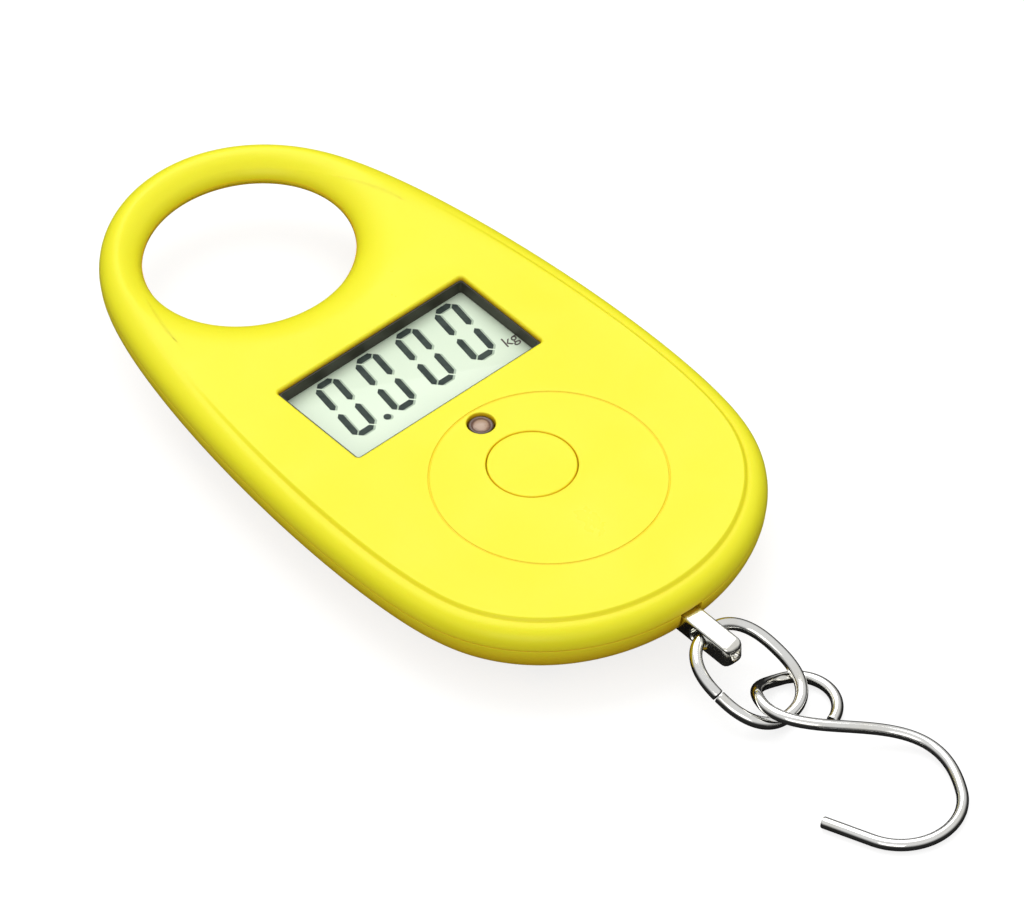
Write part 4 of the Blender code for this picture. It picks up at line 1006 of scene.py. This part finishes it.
def black_plastic(name, tint, grain_size=0.0003):
    """Moulded plastic with a fine grain and slightly polished patches."""
    p = Paint(name)
    patches = p.noise(0.006, 4.0)
    colour = p.mix(p.spread(patches, 0.0, 1.0), tint, tuple(c * 1.8 + 0.004 for c in tint))
    normal = p.bump(p.noise(grain_size, 2.0), 0.000012, 0.7)
    return p.finish(colour, p.spread(patches, 0.42, 0.6), normal)


def lcd_glass():
    """Pale reflective display: a fine silvery reflector under clear glass."""
    p = Paint("lcd_glass")
    grain = p.noise(0.00009, 2.0)
    broad = p.noise(0.02, 2.0)
    colour = p.ramp(broad, (0.3, (0.72, 0.86, 0.66)), (0.7, (0.80, 0.92, 0.73)))
    colour = p.mix(p.spread(grain, 0.0, 0.12), colour, (0.45, 0.55, 0.42))
    p.set(Coat_Weight=0.35, Coat_Roughness=0.03, Specular_IOR_Level=0.3)
    return p.finish(colour, p.spread(grain, 0.3, 0.42))


def lcd_ink(name, dark, light):
    """Liquid crystal that is switched on, or its shadow: matt, slightly uneven."""
    p = Paint(name)
    patches = p.noise(0.0012, 3.0)
    colour = p.ramp(patches, (0.35, dark), (0.65, light))
    p.set(Specular_IOR_Level=0.08)
    return p.finish(colour, p.spread(patches, 0.4, 0.5))


def indicator_resin():
    """Diffused lamp under a tinted window: a pale middle inside a dark rim, the rim painted shade of the
    recess round the window.
    """
    p = Paint("indicator_resin")
    split = p.node("ShaderNodeSeparateXYZ")
    p.link(p.place, split.inputs[0])
    x = p.math('SUBTRACT', split.outputs[0], LENS_MIDDLE.x)
    y = p.math('SUBTRACT', split.outputs[1], LENS_MIDDLE.y)
    away = p.math('SQRT', p.math('ADD', p.math('MULTIPLY', x, x), p.math('MULTIPLY', y, y)))
    grain = p.noise(0.0003, 3.0)
    away = p.math('ADD', away, p.spread(grain, -0.00008, 0.00008))
    # Painted shade: the colour falls to near black from about 1.1 mm out, standing for the shadowed recess
    # round the window.
    colour = p.ramp(p.range(away, 0.0, 0.002, 0.0, 1.0),
                    (0.0, (0.48, 0.33, 0.23)), (0.42, (0.42, 0.27, 0.18)), (0.56, (0.14, 0.06, 0.03)),
                    (0.8, (0.05, 0.025, 0.01)))
    p.set(Coat_Weight=0.4, Coat_Roughness=0.08)
    return p.finish(colour, p.spread(grain, 0.25, 0.4))


def bright_metal(name, tint, roughness, scratch=(1.0, 1.0, 1.0)):
    """Nickel-chrome plate: hairline scratches, a few dull patches, faintly warmer stain."""
    p = Paint(name)
    stain = p.noise(0.005, 4.0, None, 0.6)
    stained = (tint[0] * 0.86, tint[1] * 0.82, tint[2] * 0.72)
    colour = p.mix(p.range(stain, 0.45, 0.75, 0.0, 0.55), tint, stained)
    hair = p.noise(0.00035, 3.0, scratch, 0.7, 1.2)
    dull = p.noise(0.0028, 4.0, None, 0.55, 0.3, 5.0)
    rough = p.math('ADD', p.range(dull, 0.4, 0.75, roughness, roughness + 0.12),
                   p.range(hair, 0.55, 0.8, 0.0, 0.10), True)
    normal = p.bump(hair, 0.000004, 0.6)
    normal = p.bump(p.noise(0.0016, 2.0), 0.00003, 0.35, normal)
    p.set(Metallic=1.0)
    return p.finish(colour, rough, normal)


def board_paint():
    """Green solder mask over copper tracks, with tinned pads."""
    p = Paint("board_mask")
    bricks = p.node("ShaderNodeTexBrick")
    p.link(p.place, bricks.inputs["Vector"])
    bricks.inputs["Scale"].default_value = 260
    bricks.inputs["Mortar Size"].default_value = 0.035
    for key, colour in (("Color1", (0.012, 0.13, 0.045)), ("Color2", (0.016, 0.16, 0.055)),
                        ("Mortar", (0.06, 0.30, 0.08))):
        bricks.inputs[key].default_value = (*colour, 1)
    pads = p.range(p.cells(0.0026), 0.10, 0.13, 1.0, 0.0)
    colour = p.mix(pads, bricks.outputs["Color"], (0.62, 0.60, 0.52))
    height = p.math('ADD', bricks.outputs["Fac"], pads)
    return p.finish(colour, p.spread(p.noise(0.003, 3.0), 0.25, 0.4), p.bump(height, 0.00003, 0.6))


def foil_paint():
    """Strain gauge: amber film with the folded foil grid showing."""
    p = Paint("gauge_foil")
    waves = p.node("ShaderNodeTexWave", wave_type='BANDS', bands_direction='X')
    p.link(p.place, waves.inputs["Vector"])
    waves.inputs["Scale"].default_value = 700
    colour = p.mix(waves.outputs["Fac"], (0.55, 0.25, 0.05), (0.75, 0.62, 0.40))
    return p.finish(colour, p.spread(p.noise(0.001, 3.0), 0.25, 0.45))


def lamp_resin():
    p = Paint("lamp_resin")
    patches = p.noise(0.0008, 3.0)
    colour = p.ramp(patches, (0.3, (0.85, 0.82, 0.70)), (0.7, (0.92, 0.90, 0.80)))
    return p.finish(colour, p.spread(patches, 0.3, 0.5))


def paint_nodes(finishes):
    """Gives every CAD node that stays on show its finish."""
    for names, material in finishes:
        for name in names:
            node = frame["nodes"][name]
            node.data.materials.clear()
            node.data.materials.append(material)


# ---- Stage ----
FLOOR_HALF = 3.0
FLOOR_DROP = 0.03 * MM          # the floor lies this far under the scale
CAMERA_ELEVATION = math.radians(45.59)
CAMERA_HEADING = Vector((0.6660, 0.7459, 0.0))
CAMERA_TARGET = Vector((-0.88 * MM, 9.21 * MM, TOP_Z))
CAMERA_DISTANCE = 2.16114
CAMERA_SENSOR = 36.0            # millimetres across
PICTURE_WIDTH = 132.12903 * MM  # how much of the target's plane the picture takes in


def aimed(name, data, place, way):
    """A lamp or camera that looks along way."""
    made = put(name, data)
    made.location = place
    made.rotation_mode = 'QUATERNION'
    made.rotation_quaternion = way.to_track_quat('-Z', 'Y')
    return made


def soft_light(name, place, size, power, colour=(1, 1, 1)):
    data = bpy.data.lights.new(name, 'AREA')
    data.shape = 'RECTANGLE'
    data.size, data.size_y = size
    data.energy = power
    data.color = colour
    aimed(name, data, place, -Vector(place))


def choose(p, factor, first, second):
    """Mixes two shaders."""
    node = p.node("ShaderNodeMixShader")
    for source, socket in zip((factor, first, second), node.inputs):
        p.link(source, socket)
    return node.outputs[0]


def shader_node(p, kind, **values):
    """A shader node with its values set."""
    node = p.node(kind)
    for key, value in values.items():
        node.inputs[key].default_value = value
    return node.outputs[0]


def floor():
    """Pale floor: white to the camera, dull in what it throws back, dark in mirrors and clear from below."""
    half, z = FLOOR_HALF, -FLOOR_DROP
    corners = [(-half, -half, z), (half, -half, z), (half, half, z), (-half, half, z)]
    piece = make("floor", corners, [(0, 1, 2, 3)])
    p = Paint("floor")
    p.set(Base_Color=(0.34, 0.34, 0.34, 1), Roughness=0.9, Specular_IOR_Level=0.0,
          Emission_Color=(1, 1, 1, 1), Emission_Strength=0.78)
    path = p.node("ShaderNodeLightPath").outputs
    touching = p.math('LESS_THAN', path["Ray Length"], 0.4 * MM)
    bounce = shader_node(p, "ShaderNodeBsdfDiffuse", Color=(0.42, 0.40, 0.34, 1))
    dark = shader_node(p, "ShaderNodeBsdfDiffuse", Color=(0.02, 0.02, 0.02, 1))
    lit = choose(p, touching, bounce, shader_node(p, "ShaderNodeEmission", Strength=0.42))
    seen = choose(p, path["Is Camera Ray"], lit, p.shader.outputs[0])
    above = choose(p, path["Is Glossy Ray"], seen, dark)
    both = choose(p, p.node("ShaderNodeNewGeometry").outputs["Backfacing"], above,
                  shader_node(p, "ShaderNodeBsdfTransparent"))
    p.link(both, p.nodes["Material Output"].inputs["Surface"])
    piece.data.materials.append(p.material)


def world():
    """White to the camera. To the object, bright overhead and dim at the horizon."""
    made = bpy.data.worlds.new("studio")
    made.use_nodes = True
    nodes, links = made.node_tree.nodes, made.node_tree.links
    place, split = nodes.new("ShaderNodeTexCoord"), nodes.new("ShaderNodeSeparateXYZ")
    links.new(place.outputs["Generated"], split.inputs[0])
    ramp = nodes.new("ShaderNodeValToRGB")
    for element, position, level in zip(ramp.color_ramp.elements, (0.10, 0.55), (0.10, 0.74)):
        element.position = position
        element.color = (level, level, level, 1)
    links.new(split.outputs["Z"], ramp.inputs["Fac"])
    path, mix = nodes.new("ShaderNodeLightPath"), nodes.new("ShaderNodeMix")
    mix.data_type = 'RGBA'
    mix.inputs[7].default_value = (1, 1, 1, 1)
    links.new(path.outputs["Is Camera Ray"], mix.inputs[0])
    links.new(ramp.outputs["Color"], mix.inputs[6])
    links.new(mix.outputs[2], nodes["Background"].inputs["Color"])
    nodes["Background"].inputs["Strength"].default_value = 1.0
    bpy.context.scene.world = made


def camera():
    """The photo's view: from above the button's end, through a very long lens."""
    level = CAMERA_HEADING.normalized() * math.cos(CAMERA_ELEVATION)
    forward = Vector((level.x, level.y, -math.sin(CAMERA_ELEVATION)))
    data = bpy.data.cameras.new("camera")
    data.sensor_width = CAMERA_SENSOR
    data.lens = CAMERA_SENSOR * CAMERA_DISTANCE / PICTURE_WIDTH
    data.clip_start, data.clip_end = 0.1, 20.0
    bpy.context.scene.camera = aimed("camera", data, CAMERA_TARGET - forward * CAMERA_DISTANCE, forward)


def main():
    yellow = yellow_plastic()
    chrome = bright_metal("bright_plate", (0.90, 0.90, 0.88), 0.07)
    front_shell(yellow)
    back_shell(yellow)
    battery_door(yellow)
    button(yellow)
    bezel(black_plastic("bezel_black", (0.018, 0.018, 0.010)))
    glass(lcd_glass())
    digits("display_shade", SHADE_SHIFT, GLASS_HIGH.z - 0.005 * MM, GLASS_HIGH.z + 0.008 * MM,
           lcd_ink("lcd_shade", (0.42, 0.52, 0.40), (0.48, 0.58, 0.45)))
    digits("display_digits", (0.0, 0.0), GLASS_HIGH.z + 0.01 * MM, GLASS_HIGH.z + 0.04 * MM,
           lcd_ink("lcd_dark", (0.035, 0.050, 0.045), (0.060, 0.080, 0.070)))
    unit(lcd_ink("lcd_unit", (0.10, 0.09, 0.08), (0.16, 0.14, 0.12)))
    indicator(indicator_resin())
    lug(bright_metal("lug_plate", (0.88, 0.88, 0.84), 0.12))
    oval_link(chrome)
    s_hook(chrome)
    paint_nodes([
        ([name for name in frame["nodes"] if "_screw_" in name],
         bright_metal("screw_zinc", (0.72, 0.72, 0.70), 0.22)),
        (["coin_cell"], bright_metal("cell_can", (0.82, 0.82, 0.80), 0.16)),
        (["load_cell"], bright_metal("beam_aluminium", (0.80, 0.81, 0.82), 0.30, (1.0, 0.1, 1.0))),
        (["switch_body"], bright_metal("switch_can", (0.75, 0.75, 0.72), 0.25)),
        (["battery_contact_top", "battery_contact_side"],
         bright_metal("contact_gold", (0.85, 0.65, 0.30), 0.20)),
        (["display_holder", "battery_holder"], black_plastic("holder_black", (0.015, 0.015, 0.016))),
        (["switch_plunger"], black_plastic("plunger_black", (0.02, 0.02, 0.02))),
        (["controller_blob"], black_plastic("chip_resin", (0.010, 0.010, 0.011), 0.0008)),
        (["contact_strip_1", "contact_strip_2"], black_plastic("contact_rubber", (0.10, 0.10, 0.11))),
        (["strain_gauge_1", "strain_gauge_2"], foil_paint()),
        (["indicator_lamp"], lamp_resin()),
        (["circuit_board"], board_paint())])
    floor()
    world()
    soft_light("key", (0.15, 0.35, 0.75), (0.7, 0.7), 3.3)
    soft_light("fill", (-0.55, -0.45, 0.45), (0.5, 0.4), 0.8, (1.0, 0.97, 0.92))
    camera()
    bpy.context.scene.view_settings.view_transform = 'Standard'


main()
